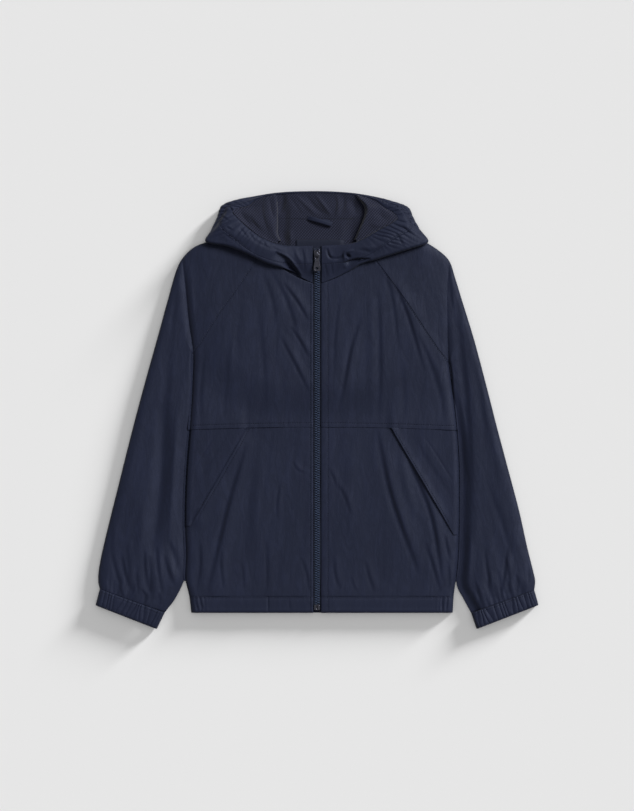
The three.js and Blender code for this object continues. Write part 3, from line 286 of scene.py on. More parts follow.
# Folds: three points of each line, depth (a ridge where negative), half width, and how much of the
# depth stands as a ridge beside the line: on the right of a line drawn downwards where positive
creaseColumns = ["x1", "y1", "x2", "y2", "x3", "y3", "depth", "width", "ridge"]
bodyCreases = table(creaseColumns, [
    # left front, above the yoke seam
    [-46, 171, -26, 144, -12, 119, 1.7, 4.1, 0.7],
    [-66, 192, -42, 148, -23, 88, 1.0, 5.8, 0.55],
    [-36, 112, -23, 92, -11, 70, 1.4, 3.7, 0.7],
    [-51, 101, -30, 61, -11, 23, 1.5, 4.1, 0.7],
    [-82, 148, -74, 81, -69, -14, 0.7, 6.9, 0.55],
    [-115, 122, -123, 54, -126, -19, 0.8, 8.0, 0.55],
    [-150, 88, -157, 34, -158, -20, 0.9, 5.8, 0.55],
    [-100, 162, -107, 108, -109, 40, 0.5, 6.9, 0.3],
    [-74, 186, -61, 148, -55, 108, 0.8, 5.8, 0.55],
    # right front, above the yoke seam
    [59, 131, 43, 74, 34, 20, 1.5, 5.3, 0.6],
    [47, 108, 39, 54, 27, -7, 0.9, 4.6, 0.55],
    [81, 169, 84, 74, 82, -20, 1.4, 6.0, 0.6],
    [72, 162, 74, 94, 73, 14, -0.6, 5.8, 0],
    [103, 173, 123, 122, 144, 51, 1.7, 5.1, 0.7],
    [90, 189, 101, 148, 109, 81, 0.9, 4.6, 0.55],
    [131, 108, 150, 68, 166, 14, 1.1, 5.8, 0.55],
    [31, 162, 24, 108, 22, 40, 0.7, 4.6, 0.55],
    [155, 68, 166, 20, 170, -20, 0.9, 5.8, 0.55],
    [112, 68, 117, 20, 117, -22, 0.7, 5.8, 0.3],
    # left front, below the yoke seam
    [-94, -34, -121, -126, -150, -248, 2.1, 7.2, 0.65],
    [-74, -40, -80, -122, -82, -202, -0.8, 10.3, 0],
    [-50, -94, -54, -122, -55, -148, 0.8, 3.0, 0.55],
    [-34, -68, -26, -81, -15, -86, 0.6, 2.5, 0.55],
    [-103, -202, -100, -223, -100, -243, 0.5, 3.4, 0.55],
    [-23, -196, -15, -219, -11, -246, 0.6, 3.4, 0.55],
    [-128, -182, -130, -209, -126, -243, 0.8, 3.4, 0.55],
    [-68, -176, -68, -216, -69, -246, 0.6, 4.6, 0.55],
    [-159, -176, -158, -209, -163, -243, 1.2, 4.6, 0.6],
    # right front, below the yoke seam
    [79, -24, 99, -118, 137, -224, 2.2, 6.6, 0.65],
    [120, -64, 152, -140, 169, -240, 2.0, 5.4, 0.65],
    [112, -40, 119, -94, 136, -148, -0.9, 6.9, 0],
    [171, -166, 174, -182, 178, -202, 1.1, 3.4, 0.55],
    [144, -176, 153, -202, 166, -246, 1.1, 4.1, 0.55],
    [15, -78, 23, -94, 26, -108, 0.7, 2.8, 0.55],
    [26, -99, 36, -115, 45, -142, 0.8, 3.4, 0.55],
    [22, -196, 24, -223, 31, -243, 0.8, 3.4, 0.55],
    [65, -202, 69, -223, 77, -246, 0.8, 3.4, 0.55],
    [45, -223, 49, -236, 54, -246, 0.5, 2.3, 0.55],
    [51, -27, 45, -94, 47, -176, -0.7, 10.3, 0],
    [176, -202, 178, -230, 177, -248, 0.9, 3.4, 0.55],
    # left sleeve
    [-258, -176, -256, -202, -252, -246, 1.5, 5.8, 0.6],
    [-227, -193, -225, -223, -225, -254, 1.7, 4.6, 0.7],
    [-207, -193, -201, -216, -189, -246, 1.6, 4.6, 0.7],
    [-192, -170, -188, -202, -185, -232, 1.4, 4.6, 0.6],
    [-267, -234, -265, -243, -263, -252, 1.1, 2.8, 0.6],
    [-246, -230, -248, -243, -254, -254, 1.1, 2.8, 0.6],
    [-238, -240, -231, -251, -234, -262, 1.1, 2.8, 0.6],
    [-215, -243, -212, -254, -215, -266, 1.1, 2.8, 0.6],
    [-225, 94, -242, -14, -258, -122, -0.9, 11.5, 0],
    [-198, 108, -205, 14, -215, -68, 1.2, 10.3, 0.55],
    [-180, 200, -177, 148, -171, 81, 1.7, 5.2, 0.6],
    [-190, 200, -193, 148, -198, 81, 0.8, 8.0, 0.55],
    [-277, -148, -278, -182, -275, -216, 0.9, 5.8, 0.55],
    [-204, 10, -211, -95, -223, -196, 4.2, 10.0, 0],  # long hollow
    [-264, -190, -260, -216, -253, -242, 1.9, 3.2, 0.5],
    [-233, -186, -232, -214, -227, -246, 1.9, 3.2, 0.5],
    [-217, -182, -214, -215, -209, -252, 2.0, 3.4, 0.5],
    [-276, -194, -271, -218, -264, -240, 1.5, 2.8, 0.4],
    [-243, -206, -243, -226, -240, -250, 1.3, 2.6, 0.4],
    [-189, 0, -193, -90, -200, -180, -1.3, 5.5, 0],
    [-200, -176, -193, -196, -189, -222, 1.8, 4.5, 0.3],
    [-233, -120, -236, -160, -240, -214, -1.1, 6.5, 0],
    # right sleeve
    [176, 200, 177, 173, 182, 135, 1.7, 5.2, 0.6],
    [185, 146, 200, 10, 207, -186, 2.4, 9.4, 0.5],
    [225, -184, 229, -216, 236, -252, 1.6, 3.2, 0.5],
    [256, -184, 253, -214, 248, -246, 1.7, 3.4, 0.5],
    [213, 108, 236, -14, 254, -122, -0.9, 10.3, 0],
    [227, -94, 247, -148, 263, -202, 1.0, 6.9, 0.55],
    [231, -216, 230, -235, 232, -252, 1.2, 3.4, 0.6],
    [251, -193, 258, -223, 256, -252, 1.6, 4.6, 0.7],
    [212, -230, 217, -246, 220, -263, 1.2, 3.4, 0.6],
    [242, -213, 247, -236, 248, -256, 1.2, 3.4, 0.6],
    [217, -148, 207, -189, 201, -230, -0.9, 6.9, 0],
    [274, -169, 285, -209, 282, -240, 1.3, 4.6, 0.6],
    [267, -219, 270, -232, 269, -246, 1.1, 2.8, 0.6],
    [207, -250, 211, -259, 215, -270, 1.0, 2.8, 0.6],
    [207, 94, 220, 14, 225, -54, 0.9, 9.2, 0.55],
])

hoodStations = table(["edgeX", "edgeY", "rimX", "rimY", "low", "crest", "rim", "turn", "radius", "tuck",
                      "casing", "gather"], [
    [-5.9, 170.6, -5.9, 221.0, 10.6, 15.1, 15.1, 0, 3, 0, 25, 0],
    [-28.0, 181.4, -27.0, 220.7, 11, 16.6, 15.2, 0.25, 3.5, 0, 25, 0],
    [-45.9, 190.4, -44.6, 222.0, 11.6, 19.1, 16.1, 0.6, 3.8, 0, 25, 0],
    [-68.9, 197.1, -60.8, 226.1, 12, 21.1, 17.1, 1, 4.2, 8, 25, 0.1],
    [-93.2, 208.6, -77.0, 233.6, 12, 22.1, 18.1, 1, 4.6, 14, 25, 0.4],
    [-120.2, 219.4, -93.2, 245.7, 11.8, 23.1, 18.6, 1, 5, 15, 25, 1],
    [-149.5, 226.0, -106.7, 257.9, 8.6, 21.1, 18.6, 1, 5, 14, 25, 1],
    [-143.1, 241.7, -112.7, 265.3, 3, 19.5, 17.5, 1, 5, 10, 24, 1],
    [-135.0, 259.2, -111.4, 268.0, 0, 17, 16, 1, 5, 3, 18, 1],
    [-128.3, 275.6, -105.3, 271.4, 0, 14, 13, 1, 5, 5, 16, 1],
    [-106.7, 284.2, -91.8, 274.6, 0, 12, 11.2, 1, 5, 4, 10, 0.6],
    [-82.4, 288.9, -79.4, 283.2, 0, 11, 10.4, 1, 2.4, 6, 5, 0.2],
    [-56.7, 293.0, -56.2, 289.6, 0, 10.2, 9.9, 1, 1.5, 9, 0, 0],
    [-28.4, 295.0, -28.4, 291.8, 0, 10.2, 9.9, 1, 1.5, 12, 0, 0],
    [0.0, 295.5, 0.0, 292.3, 0, 10.2, 9.9, 1, 1.5, 12, 0, 0],
    [28.4, 294.6, 28.4, 291.4, 0, 10.2, 9.9, 1, 1.5, 11, 0, 0],
    [54.0, 292.3, 53.5, 288.9, 0, 10.2, 9.9, 1, 1.5, 8.5, 0, 0],
    [79.7, 287.6, 77.0, 282.2, 0, 11, 10.4, 1, 2.4, 5, 5, 0.2],
    [102.6, 281.5, 90.8, 271.7, 0, 12, 11.2, 1, 5, 3, 10, 0.6],
    [122.9, 273.6, 100.6, 266.3, 0, 14, 13, 1, 5, 3, 16, 1],
    [130.2, 259.2, 107.0, 260.2, 0, 17, 16, 1, 5, 2, 18, 1],
    [139.0, 243.0, 106.7, 256.5, 3, 19.5, 17.5, 1, 5, 10, 24, 1],
    [149.5, 226.0, 98.6, 250.4, 8.6, 21.1, 18.6, 1, 5, 14, 25, 1],
    [126.9, 216.7, 83.7, 243.0, 11.8, 23.1, 18.6, 1, 5, 15, 25, 1],
    [101.3, 208.6, 68.9, 234.2, 12, 22.1, 18.1, 1, 4.6, 14, 25, 0.3],
    [77.0, 201.2, 54.0, 226.8, 12, 21.1, 17.1, 1, 4.2, 8, 25, 0.05],
    [54.0, 193.8, 39.2, 223.2, 11.6, 19.1, 16.1, 0.6, 3.8, 0, 25, 0],
    [31.0, 180.6, 24.3, 222.1, 11, 16.6, 15.2, 0.25, 3.5, 0, 25, 0],
    [5.9, 170.6, 5.9, 221.0, 10.6, 15.1, 15.1, 0, 3, 0, 25, 0],
])
hoodSplits = {"crestShare": 0.42, "crownFrom": 12, "crownTo": 16, "casingLeft": 11.85, "casingRight": 16.15}

liningColumns = ["station", "ridgeX", "ridgeY", "ridge", "fall"]
liningFolds = {
    "left": table(liningColumns, [
        [2.55, -52, 227.5, 14.2, 3],
        [3.2, -56, 232.5, 15.4, 4],
        [4.2, -58.8, 239, 15.8, 5],
        [5.2, -60.5, 246, 15.8, 7],
        [6.4, -62.5, 254, 15.2, 9],
        [8.4, -64.8, 262, 14.4, 11],
        [9.6, -66.5, 269.5, 13.4, 13],
        [10.8, -68.5, 278, 12.0, 14],
        [11.45, -69.3, 286.4, 10.4, 15],
    ]),
    "right": table(liningColumns, [
        [25.05, 52.5, 229, 14.6, 1.6],
        [24.7, 55, 233.5, 16.4, 2],
        [24.0, 57.8, 240, 17.6, 2],
        [23.0, 61, 247, 18.4, 2.2],
        [21.8, 65.5, 257, 18.4, 2.6],
        [19.6, 68.5, 266, 17.2, 3.2],
        [18.3, 68, 274, 15.4, 4],
        [17.2, 61.5, 282, 13.4, 4.5],
        [16.3, 53, 288.4, 10.6, 5],
    ]),
}
liningSizes = {
    "sag": 1.6, "foot": 7.0, "rim": 0.6,
    "bulge": 3.4, "bulgeLeft": -39, "valley": 9.5,  # the lining lies higher in the middle, beside two valleys
}
valleyLine = [(222, 46), (233, 45), (244, 48), (254, 53), (265, 57), (275, 55), (284, 48), (291, 41)]  # y, x

sides = ("left", "right")
sign = {"left": -1.0, "right": 1.0}
facingOf = {"left": 1, "right": -1}

# Curves and noise


def columnReader(keys, values):
    # smooth interpolation of one column over a rising key
    keys, values = np.asarray(keys, float), np.asarray(values, float)
    last = len(keys) - 1
    here = np.arange(last + 1)
    before, after = np.maximum(here - 1, 0), np.minimum(here + 1, last)
    slopes = (values[after] - values[before]) / (keys[after] - keys[before])

    def read(at):
        at = np.asarray(at, float)
        i = np.clip(np.searchsorted(keys, at, side="left") - 1, 0, last - 1)
        span = keys[i + 1] - keys[i]
        t = np.clip((at - keys[i]) / span, 0, 1)
        lift = t * t * (3 - 2 * t)
        bend = t * (1 - t) * span * ((1 - t) * slopes[i] - t * slopes[i + 1])
        return values[i] + (values[i + 1] - values[i]) * lift + bend

    return read


def rowReader(rows):
    numbers = range(len(rows))
    readers = {name: columnReader(numbers, [row[name] for row in rows]) for name in rows[0]}
    return lambda at: {name: read(at) for name, read in readers.items()}


def curveThrough(points):
    # a smooth plan line through points, over 0 to 1 of its length
    points = np.asarray(points, float)
    lengths = lengthsAlong(points)
    readers = [columnReader(lengths / lengths[-1], points[:, k]) for k in range(points.shape[1])]
    return lambda t: np.stack([read(t) for read in readers], axis=-1)


def smoothstep(value, low, high):
    t = np.clip((value - low) / (high - low), 0, 1)
    return t * t * (3 - 2 * t)


def rounded(distance, radius):
    t = np.clip(distance / radius, 0, 1)
    return np.sqrt(np.maximum(1 - (1 - t) ** 2, 0))


def blendOf(a, b, t):
    return a + (b - a) * t


def bell(distance, width):
    return np.exp(-((distance / width) ** 2))


def pairs(x, y):
    return np.stack([x, y], axis=-1)


def settle(distance, over=8):
    # fades a relief out towards an edge
    return np.minimum(1, distance / over)


def lengthsAlong(line):
    return np.concatenate([[0], np.cumsum(np.linalg.norm(np.diff(line, axis=0), axis=1))])


def latticeNoise(x, y, cellX, cellY, seed):
    # smooth repeatable noise from -1 to 1
    gx, gy = x / cellX, y / cellY
    ix, iy = np.floor(gx).astype(np.int64), np.floor(gy).astype(np.int64)
    fx, fy = gx - ix, gy - iy

    def corner(i, j):
        mixed = (i * 374761393 + j * 668265263 + seed * 144269504) & 0xFFFFFFFF
        mixed = ((mixed ^ (mixed >> 13)) * 1274126177) & 0xFFFFFFFF
        return ((mixed ^ (mixed >> 16)) & 0xFFFF) / 32767.5 - 1

    sx, sy = fx * fx * (3 - 2 * fx), fy * fy * (3 - 2 * fy)
    low = blendOf(corner(ix, iy), corner(ix + 1, iy), sx)
    high = blendOf(corner(ix, iy + 1), corner(ix + 1, iy + 1), sx)
    return blendOf(low, high, sy)


def besideLine(x, y, row, steps, reach):
    # points near a row's line: which, how far off, on which side and how far along they are
    line = curveThrough([(row["x1"], row["y1"]), (row["x2"], row["y2"]), (row["x3"], row["y3"])])(
        np.linspace(0, 1, steps + 1))
    near = ((x > line[:, 0].min() - reach) & (x < line[:, 0].max() + reach)
            & (y > line[:, 1].min() - reach) & (y < line[:, 1].max() + reach))
    px, py = x[near], y[near]
    nearest, side, share = np.full(px.shape, np.inf), np.zeros(px.shape), np.zeros(px.shape)
    for k in range(steps):
        (ax, ay), (bx, by) = line[k], line[k + 1]
        dx, dy = bx - ax, by - ay
        t = np.clip(((px - ax) * dx + (py - ay) * dy) / (dx * dx + dy * dy), 0, 1)
        ox, oy = px - ax - t * dx, py - ay - t * dy
        away = np.hypot(ox, oy)
        closer = away < nearest
        nearest = np.where(closer, away, nearest)
        side = np.where(closer, np.sign(dx * oy - dy * ox), side)
        share = np.where(closer, (k + t) / steps, share)
    return near, nearest, side, np.sin(np.pi * np.clip(share, 0, 1))


def creaseRelief(x, y, rows):
    total = np.zeros_like(x)
    for row in rows:
        near, away, side, taper = besideLine(x, y, row, 8, 6.5 * row["width"])
        # steep on the side that turns from the light, gentle beyond the ridge
        d = away * side * (np.sign(row["ridge"]) or 1.0) / row["width"]
        share = abs(row["ridge"])
        ridge = bell(d - 0.8, np.where(d < 0.8, 0.5, 1.8))
        trough = bell(d, 0.9 - 0.5 * share)
        total[near] += row["depth"] * taper ** 0.9 * (1.2 * share * ridge - (1 - share) * trough)
    return total


def lapRelief(x, y, rows):
    # cloth dropping away steeply on the right of a line, and rising gently beyond it
    total = np.zeros_like(x)
    for row in rows:
        near, away, side, taper = besideLine(x, y, row, 12, 3.0 * row["spread"])
        d = -away * side
        low = smoothstep(d, -0.5, 0.9) * bell(np.maximum(d, 0), row["spread"])
        total[near] += taper ** 0.6 * (row["crest"] * bell(d + 1.6, 1.5) - row["drop"] * low)
    return total


# Uneven small wrinkles of crinkled nylon: how high, and over what width and length
crinkle = {
    "broad": (0.42, 26, 95),
    "middle": (0.15, 8.5, 42),
    "fine": (0.075, 3.1, 19),
    "pressed": (0.16, 26, 105, 0.06),  # sharp lines
}


def nylonWaves(x, y, seed, lean=0.12):
    along, across = y + lean * x, x - lean * y
    high, width, length = crinkle["broad"]
    total = high * latticeNoise(across, along, width, length, seed)
    high, width, length = crinkle["middle"]
    total += high * latticeNoise(across + 3.0 * total, along, width, length, seed + 1)
    high, width, length = crinkle["fine"]
    total += high * latticeNoise(across, along, width, length, seed + 2)
    high, width, length, sharp = crinkle["pressed"]
    for k, turn in enumerate((0.16, -0.22)):
        line = latticeNoise(across + turn * along * 0.5, along - turn * across, width, length, seed + 5 + k)
        strength = 0.5 + 0.5 * latticeNoise(x, y, 45, 45, seed + 9 + k)
        total -= high * strength * bell(line, sharp)
    return total


# Heights


def outsideFoldedHood(x, y):
    f = foldedHood
    corner = np.where(y > (f["top"] + f["foot"]) / 2, f["topCorner"], f["footCorner"])
    dx = np.abs(x - (f["left"] + f["right"]) / 2) - (f["right"] - f["left"]) / 2 + corner
    dy = np.abs(y - (f["top"] + f["foot"]) / 2) - (f["top"] - f["foot"]) / 2 + corner
    return np.hypot(np.maximum(dx, 0), np.maximum(dy, 0)) + np.minimum(np.maximum(dx, dy), 0) - corner


def bed(x, y):
    # how high the folded hood lifts what lies on it
    f = foldedHood
    return f["bed"] * (1 - smoothstep(outsideFoldedHood(x, y), f["bedFlat"], f["bedFlat"] + f["bedRamp"]))


def loft(y):
    rise = smoothstep(y, heights["neckFrom"], heights["neckTo"])
    return blendOf(heights["loftBody"], heights["loftNeck"], rise)


edgeKeys = [row["y"] for row in bodyEdges]
sideEdge = {side: columnReader(edgeKeys, [row[side] for row in bodyEdges]) for side in sides}
sideFold = {side: columnReader(edgeKeys, [row["fold" + side.title()] for row in bodyEdges]) for side in sides}


def closeUp(y):
    # how far body and sleeve reach for each other, down to where the sleeve swings away
    return heights["closeUp"] * smoothstep(y, -236, -220)


def frontHeight(x, y, side):
    inset = np.abs(x - sideEdge[side](y))
    full = 1 - sideFold[side](y) * (1 - rounded(inset, heights["sideRadius"]))
    relief = creaseRelief(x, y, bodyCreases) * np.minimum(1, inset / heights["sideRadius"])
    relief *= 1 + heights["lowerRelief"] * smoothstep(-y, 10, 40)
    return bed(x, y) + heights["edgeSeat"] + (loft(y) - heights["edgeSeat"]) * full + relief


def placketHeight(y):
    collar = (y - zipSizes["neck"]) / (hoodStations[0]["rimY"] - zipSizes["neck"])
    rise = smoothstep(collar, 0, 1 - hoodSplits["crestShare"])
    onHood = blendOf(hoodStations[0]["low"], hoodStations[0]["crest"], rise)
    return np.where(y <= zipSizes["neck"], bed(np.zeros_like(y), y) + loft(y), onHood)


def yokeSeamY(x):
    share = np.abs(x) / abs(bodyEdges[0]["right"])
    return seams["yoke"] - seams["yokeDrop"] * share * share


# Cloth meshes


def meshObject(name, vertices, faces, smoothCount, material):
    # a mesh of four-cornered faces, of which the first are smooth
    mesh = bpy.data.meshes.new(name)
    vertices = np.asarray(vertices, np.float32).reshape(-1, 3) * mm
    faces = np.asarray(faces, np.int32)
    mesh.vertices.add(len(vertices))
    mesh.vertices.foreach_set("co", vertices.ravel())
    mesh.loops.add(faces.size)
    mesh.loops.foreach_set("vertex_index", faces.ravel())
    mesh.polygons.add(len(faces))
    mesh.polygons.foreach_set("loop_start", np.arange(0, faces.size, 4, dtype=np.int32))
    mesh.polygons.foreach_set("use_smooth", np.arange(len(faces)) < smoothCount)
    mesh.update(calc_edges=True)
    mesh.validate()
    mesh.materials.append(material)
    return placeObject(name, mesh)


def smoothMesh(name, vertices, faces, material):
    # a smooth mesh whose faces have different numbers of corners
    mesh = bpy.data.meshes.new(name)
    mesh.from_pydata((np.array(vertices) * mm).tolist(), [], faces)
    mesh.polygons.foreach_set("use_smooth", np.ones(len(mesh.polygons), bool))
    mesh.materials.append(material)
    return placeObject(name, mesh)


def ringIndex(rows, columns, ring=True):
    index = np.arange(rows * columns).reshape(rows, columns)
    return np.concatenate([index, index[:, :1]], axis=1) if ring else index


def quadsOf(a, b, c, d):
    return np.stack([a, b, c, d], axis=-1).reshape(-1, 4)


def wallOf(points, thick, facing, ring=False, level=None, wayOut=None):
    # closed wall between a grid of outer points [rows, columns] and their inner copies; the rows
    # named by level have their first edge pushed in level with the floor
    rows, columns = points.shape[:2]
    if wayOut is None:
        if ring:
            along = np.roll(points, -1, axis=1) - np.roll(points, 1, axis=1)
        else:
            along = np.gradient(points, axis=1)
        across = np.gradient(points, axis=0)
        normal = np.cross(along, across) * facing
        if level is not None:
            normal[level, 0] *= (1, 1, 0)
    else:
        normal = wayOut
    normal = normal / np.maximum(np.linalg.norm(normal, axis=2, keepdims=True), 1e-9)
    inner = points - normal * thick
    vertices = np.concatenate([points.reshape(-1, 3), inner.reshape(-1, 3)])
    index = ringIndex(rows, columns, ring)
    back = index + rows * columns
    quads = [quadsOf(index[:-1, :-1], index[:-1, 1:], index[1:, 1:], index[1:, :-1]),
             quadsOf(back[:-1, :-1], back[1:, :-1], back[1:, 1:], back[:-1, 1:])]
    faceCount = 2 * len(quads[0])
    quads += [quadsOf(index[0, :-1], back[0, :-1], back[0, 1:], index[0, 1:]),
              quadsOf(index[-1, :-1], index[-1, 1:], back[-1, 1:], back[-1, :-1])]
    if not ring:
        quads += [quadsOf(index[:-1, 0], index[1:, 0], back[1:, 0], back[:-1, 0]),
                  quadsOf(index[:-1, -1], back[:-1, -1], back[1:, -1], index[1:, -1])]
    faces = np.concatenate(quads)
    return vertices, faces if facing > 0 else faces[:, ::-1], faceCount


def edgeDistances(plan):
    stepsU = np.linalg.norm(np.diff(plan, axis=1), axis=2)
    stepsV = np.linalg.norm(np.diff(plan, axis=0), axis=2)
    alongU = np.concatenate([np.zeros((plan.shape[0], 1)), np.cumsum(stepsU, axis=1)], axis=1)
    alongV = np.concatenate([np.zeros((1, plan.shape[1])), np.cumsum(stepsV, axis=0)], axis=0)
    return {"near": alongU, "far": alongU[:, -1:] - alongU, "foot": alongV, "top": alongV[-1:] - alongV}


def seamShape(distance):
    # the edge turned into its seam and the fullness beside it
    return (-cloth["seamDip"] * bell(distance, 0.5)
            + cloth["seamPuff"] * bell(distance - 4.5, 3.2))


def stitchDip(distance, x, y):
    # the groove of a line of stitches, puckered unevenly
    pucker = 0.75 + 0.5 * latticeNoise(x + y, x - y, 4.5, 4.5, 3)
    return -cloth["stitchDip"] * pucker * bell(distance, 0.75)


def panelSteps(length, near=(), far=(), step=None):
    # even steps with more of them near seams and stitch lines, at distances in mm from either end
    steps = np.concatenate([evenSteps(length, step), np.array(near) / length, 1 - np.array(far) / length])
    steps = np.sort(steps)
    keep = np.concatenate([[True], np.diff(steps) > 0.22 / length])
    keep[-1] = True
    return steps[keep]


def patchOf(us, vs, near, far, foot, top):
    # plan grid between four curves; near and far run along v, foot and top along u
    u, v = np.meshgrid(us, vs)
    u, v = u[..., None], v[..., None]
    nearLine, farLine = near(vs)[:, None], far(vs)[:, None]
    footLine, topLine = foot(us)[None], top(us)[None]
    c00, c10 = nearLine[:1], farLine[:1]
    c01, c11 = nearLine[-1:], farLine[-1:]
    flatSides = nearLine * (1 - u) + farLine * u
    flatEnds = footLine * (1 - v) + topLine * v
    corners = (c00 * (1 - u) + c10 * u) * (1 - v) + (c01 * (1 - u) + c11 * u) * v
    return flatSides + flatEnds - corners


def evenSteps(length, step=None):
    return np.linspace(0, 1, max(int(round(length / (step or cloth["grid"]))), 2) + 1)


def crowded(steps):
    # extra steps near the start, where cloth turns down over an edge
    extra = steps[1] * (np.arange(1, 6) / 6) ** 1.6
    return np.concatenate([steps[:1], extra, steps[1:]])


def pack3(plan, z):
    return np.concatenate([plan, z[..., None]], axis=-1)


def addPiece(name, built, material, node, slot):
    made = meshObject(name, *built, material)
    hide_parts(node)
    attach(made, "garment")


# Materials


def newGroup(name, inputs, outputs):
    # a shader group, its input and output nodes, and the object's own coordinates in it
    group = bpy.data.node_groups.new(name, "ShaderNodeTree")
    for label, kind, value in inputs:
        group.interface.new_socket(label, in_out="INPUT", socket_type=kind).default_value = value
    for label in outputs:
        group.interface.new_socket(label, in_out="OUTPUT", socket_type="NodeSocketFloat")
    inside = group.nodes.new("NodeGroupInput").outputs
    outside = group.nodes.new("NodeGroupOutput").inputs
    return group, inside, outside, group.nodes.new("ShaderNodeTexCoord").outputs["Object"]


def addNode(tree, kind, inputs=None, **settings):
    node = tree.nodes.new(kind)
    for key, value in settings.items():
        setattr(node, key, value)
    for key, value in (inputs or {}).items():
        if isinstance(value, bpy.types.NodeSocket):
            tree.links.new(value, node.inputs[key])
        else:
            node.inputs[key].default_value = value
    return node


def mathNode(tree, operation, a, b=0.0):
    return addNode(tree, "ShaderNodeMath", {0: a, 1: b}, operation=operation).outputs[0]


def makeCrinkleGroup():
    # fine slubs and tiny creases of washed nylon: a height, and a mask where each crinkle stands highest, for
    # a painted highlight
    group, inside, outside, place = newGroup("crinkle", [
        ("Slub Size", "NodeSocketFloat", 420.0),
        ("Crease Size", "NodeSocketFloat", 70.0),
        ("Crease Share", "NodeSocketFloat", 0.6),
    ], ["Height", "Crest Highlight"])
    stretched = addNode(group, "ShaderNodeMapping", {"Vector": place, "Scale": (1.0, 0.28, 1.0)}).outputs[0]
    slubs = addNode(group, "ShaderNodeTexNoise", {
        "Vector": stretched, "Scale": inside["Slub Size"], "Detail": 3.0, "Roughness": 0.6})
    creases = addNode(group, "ShaderNodeTexNoise", {
        "Vector": stretched, "Scale": inside["Crease Size"], "Detail": 4.0, "Roughness": 0.55,
        "Distortion": 0.6})
    folded = mathNode(group, "ABSOLUTE", mathNode(group, "SUBTRACT", creases.outputs["Fac"], 0.5))
    sharp = mathNode(group, "POWER", mathNode(group, "MULTIPLY", folded, 2.0), 0.6)
    weighted = mathNode(group, "MULTIPLY", sharp, inside["Crease Share"])
    height = mathNode(group, "ADD", weighted, mathNode(group, "MULTIPLY", slubs.outputs["Fac"], 0.5))
    # paler where the crinkle stands high: a painted highlight on its crest
    crestHighlight = addNode(group, "ShaderNodeMapRange", {"Value": height, "From Min": 0.35, "From Max": 0.8})
    group.links.new(height, outside["Height"])
    group.links.new(crestHighlight.outputs[0], outside["Crest Highlight"])
    return group


def bandNode(group, vector, scale, distortion, direction, **more):
    # threads or ribs side by side
    inputs = {"Vector": vector, "Scale": scale, "Distortion": distortion, "Detail": 1.0}
    inputs.update({key.replace("_", " "): value for key, value in more.items()})
    return addNode(group, "ShaderNodeTexWave", inputs, wave_type="BANDS",
                   bands_direction=direction).outputs["Fac"]


def makeWeaveGroup():
    # over and under threads, seen as a fine relief
    group, inside, outside, place = newGroup("weave", [
        ("Threads", "NodeSocketFloat", 900.0),
        ("Lean", "NodeSocketVector", (0.0, 0.0, 0.0)),
    ], ["Height"])
    turned = addNode(group, "ShaderNodeMapping", {"Vector": place, "Rotation": inside["Lean"]}).outputs[0]
    warp, weft = (bandNode(group, turned, inside["Threads"], 0.3, direction) for direction in "XY")
    group.links.new(mathNode(group, "MULTIPLY", warp, weft), outside["Height"])
    return group


def makeRibGroup():
    # the lining's diagonal knit: ribs with small holes between them
    group, inside, outside, place = newGroup("diagonalRib", [
        ("Ribs", "NodeSocketFloat", 114.0),
        ("Lean", "NodeSocketVector", (0.0, 0.0, 0.6)),
    ], ["Height", "Ribs"])
    turned = addNode(group, "ShaderNodeMapping", {"Vector": place, "Rotation": inside["Lean"]}).outputs[0]
    ribs = bandNode(group, turned, inside["Ribs"], 0.8, "X", Detail=2.0, Detail_Scale=2.0)
    loops = bandNode(group, turned, inside["Ribs"], 1.2, "Y")
    holes = addNode(group, "ShaderNodeTexVoronoi", {"Vector": turned, "Scale": 620.0}, feature="F1")
    dotted = mathNode(group, "MULTIPLY", ribs, mathNode(group, "ADD", loops, 0.5))
    height = mathNode(group, "ADD", dotted, mathNode(group, "MULTIPLY", holes.outputs["Distance"], 0.5))
    group.links.new(height, outside["Height"])
    group.links.new(dotted, outside["Ribs"])
    return group


def placeGroup(tree, group, **values):
    node = tree.nodes.new("ShaderNodeGroup")
    node.node_tree = group
    for key, value in values.items():
        node.inputs[key].default_value = value
    return node


def newMaterial(name, roughness, sheen=0.0, metallic=0.0, coat=0.0):
    material = bpy.data.materials.new(name)
    material.use_nodes = True
    skin = material.node_tree.nodes["Principled BSDF"]
    settings = {"Roughness": roughness, "Metallic": metallic, "Sheen Weight": sheen, "Coat Weight": coat,
                "Specular IOR Level": 0.22, "Specular Tint": (0.76, 0.82, 1.0, 1)}
    for key, value in settings.items():
        skin.inputs[key].default_value = value
    return material, material.node_tree, skin


def mixColour(tree, skin, share, dark, pale):
    colour = addNode(tree, "ShaderNodeMix", {"Factor": share, 6: (*dark, 1), 7: (*pale, 1)}, data_type="RGBA")
    tree.links.new(colour.outputs[2], skin.inputs["Base Color"])


def bumpNode(tree, strength, distance, height, **below):
    inputs = {"Strength": strength, "Distance": distance, "Height": height, **below}
    return addNode(tree, "ShaderNodeBump", inputs).outputs[0]


nylon = {
    "shell": [(0.0030, 0.0046, 0.0140), (0.0088, 0.0118, 0.0305)],  # dark and pale
    "casing": [(0.0031, 0.0048, 0.0145), (0.0092, 0.0122, 0.0315)],
    "roughness": 0.6,
    "sheen": 0.05,
    "creaseHeight": 0.00035,
    "weaveHeight": 0.00004,
}
groups = {}


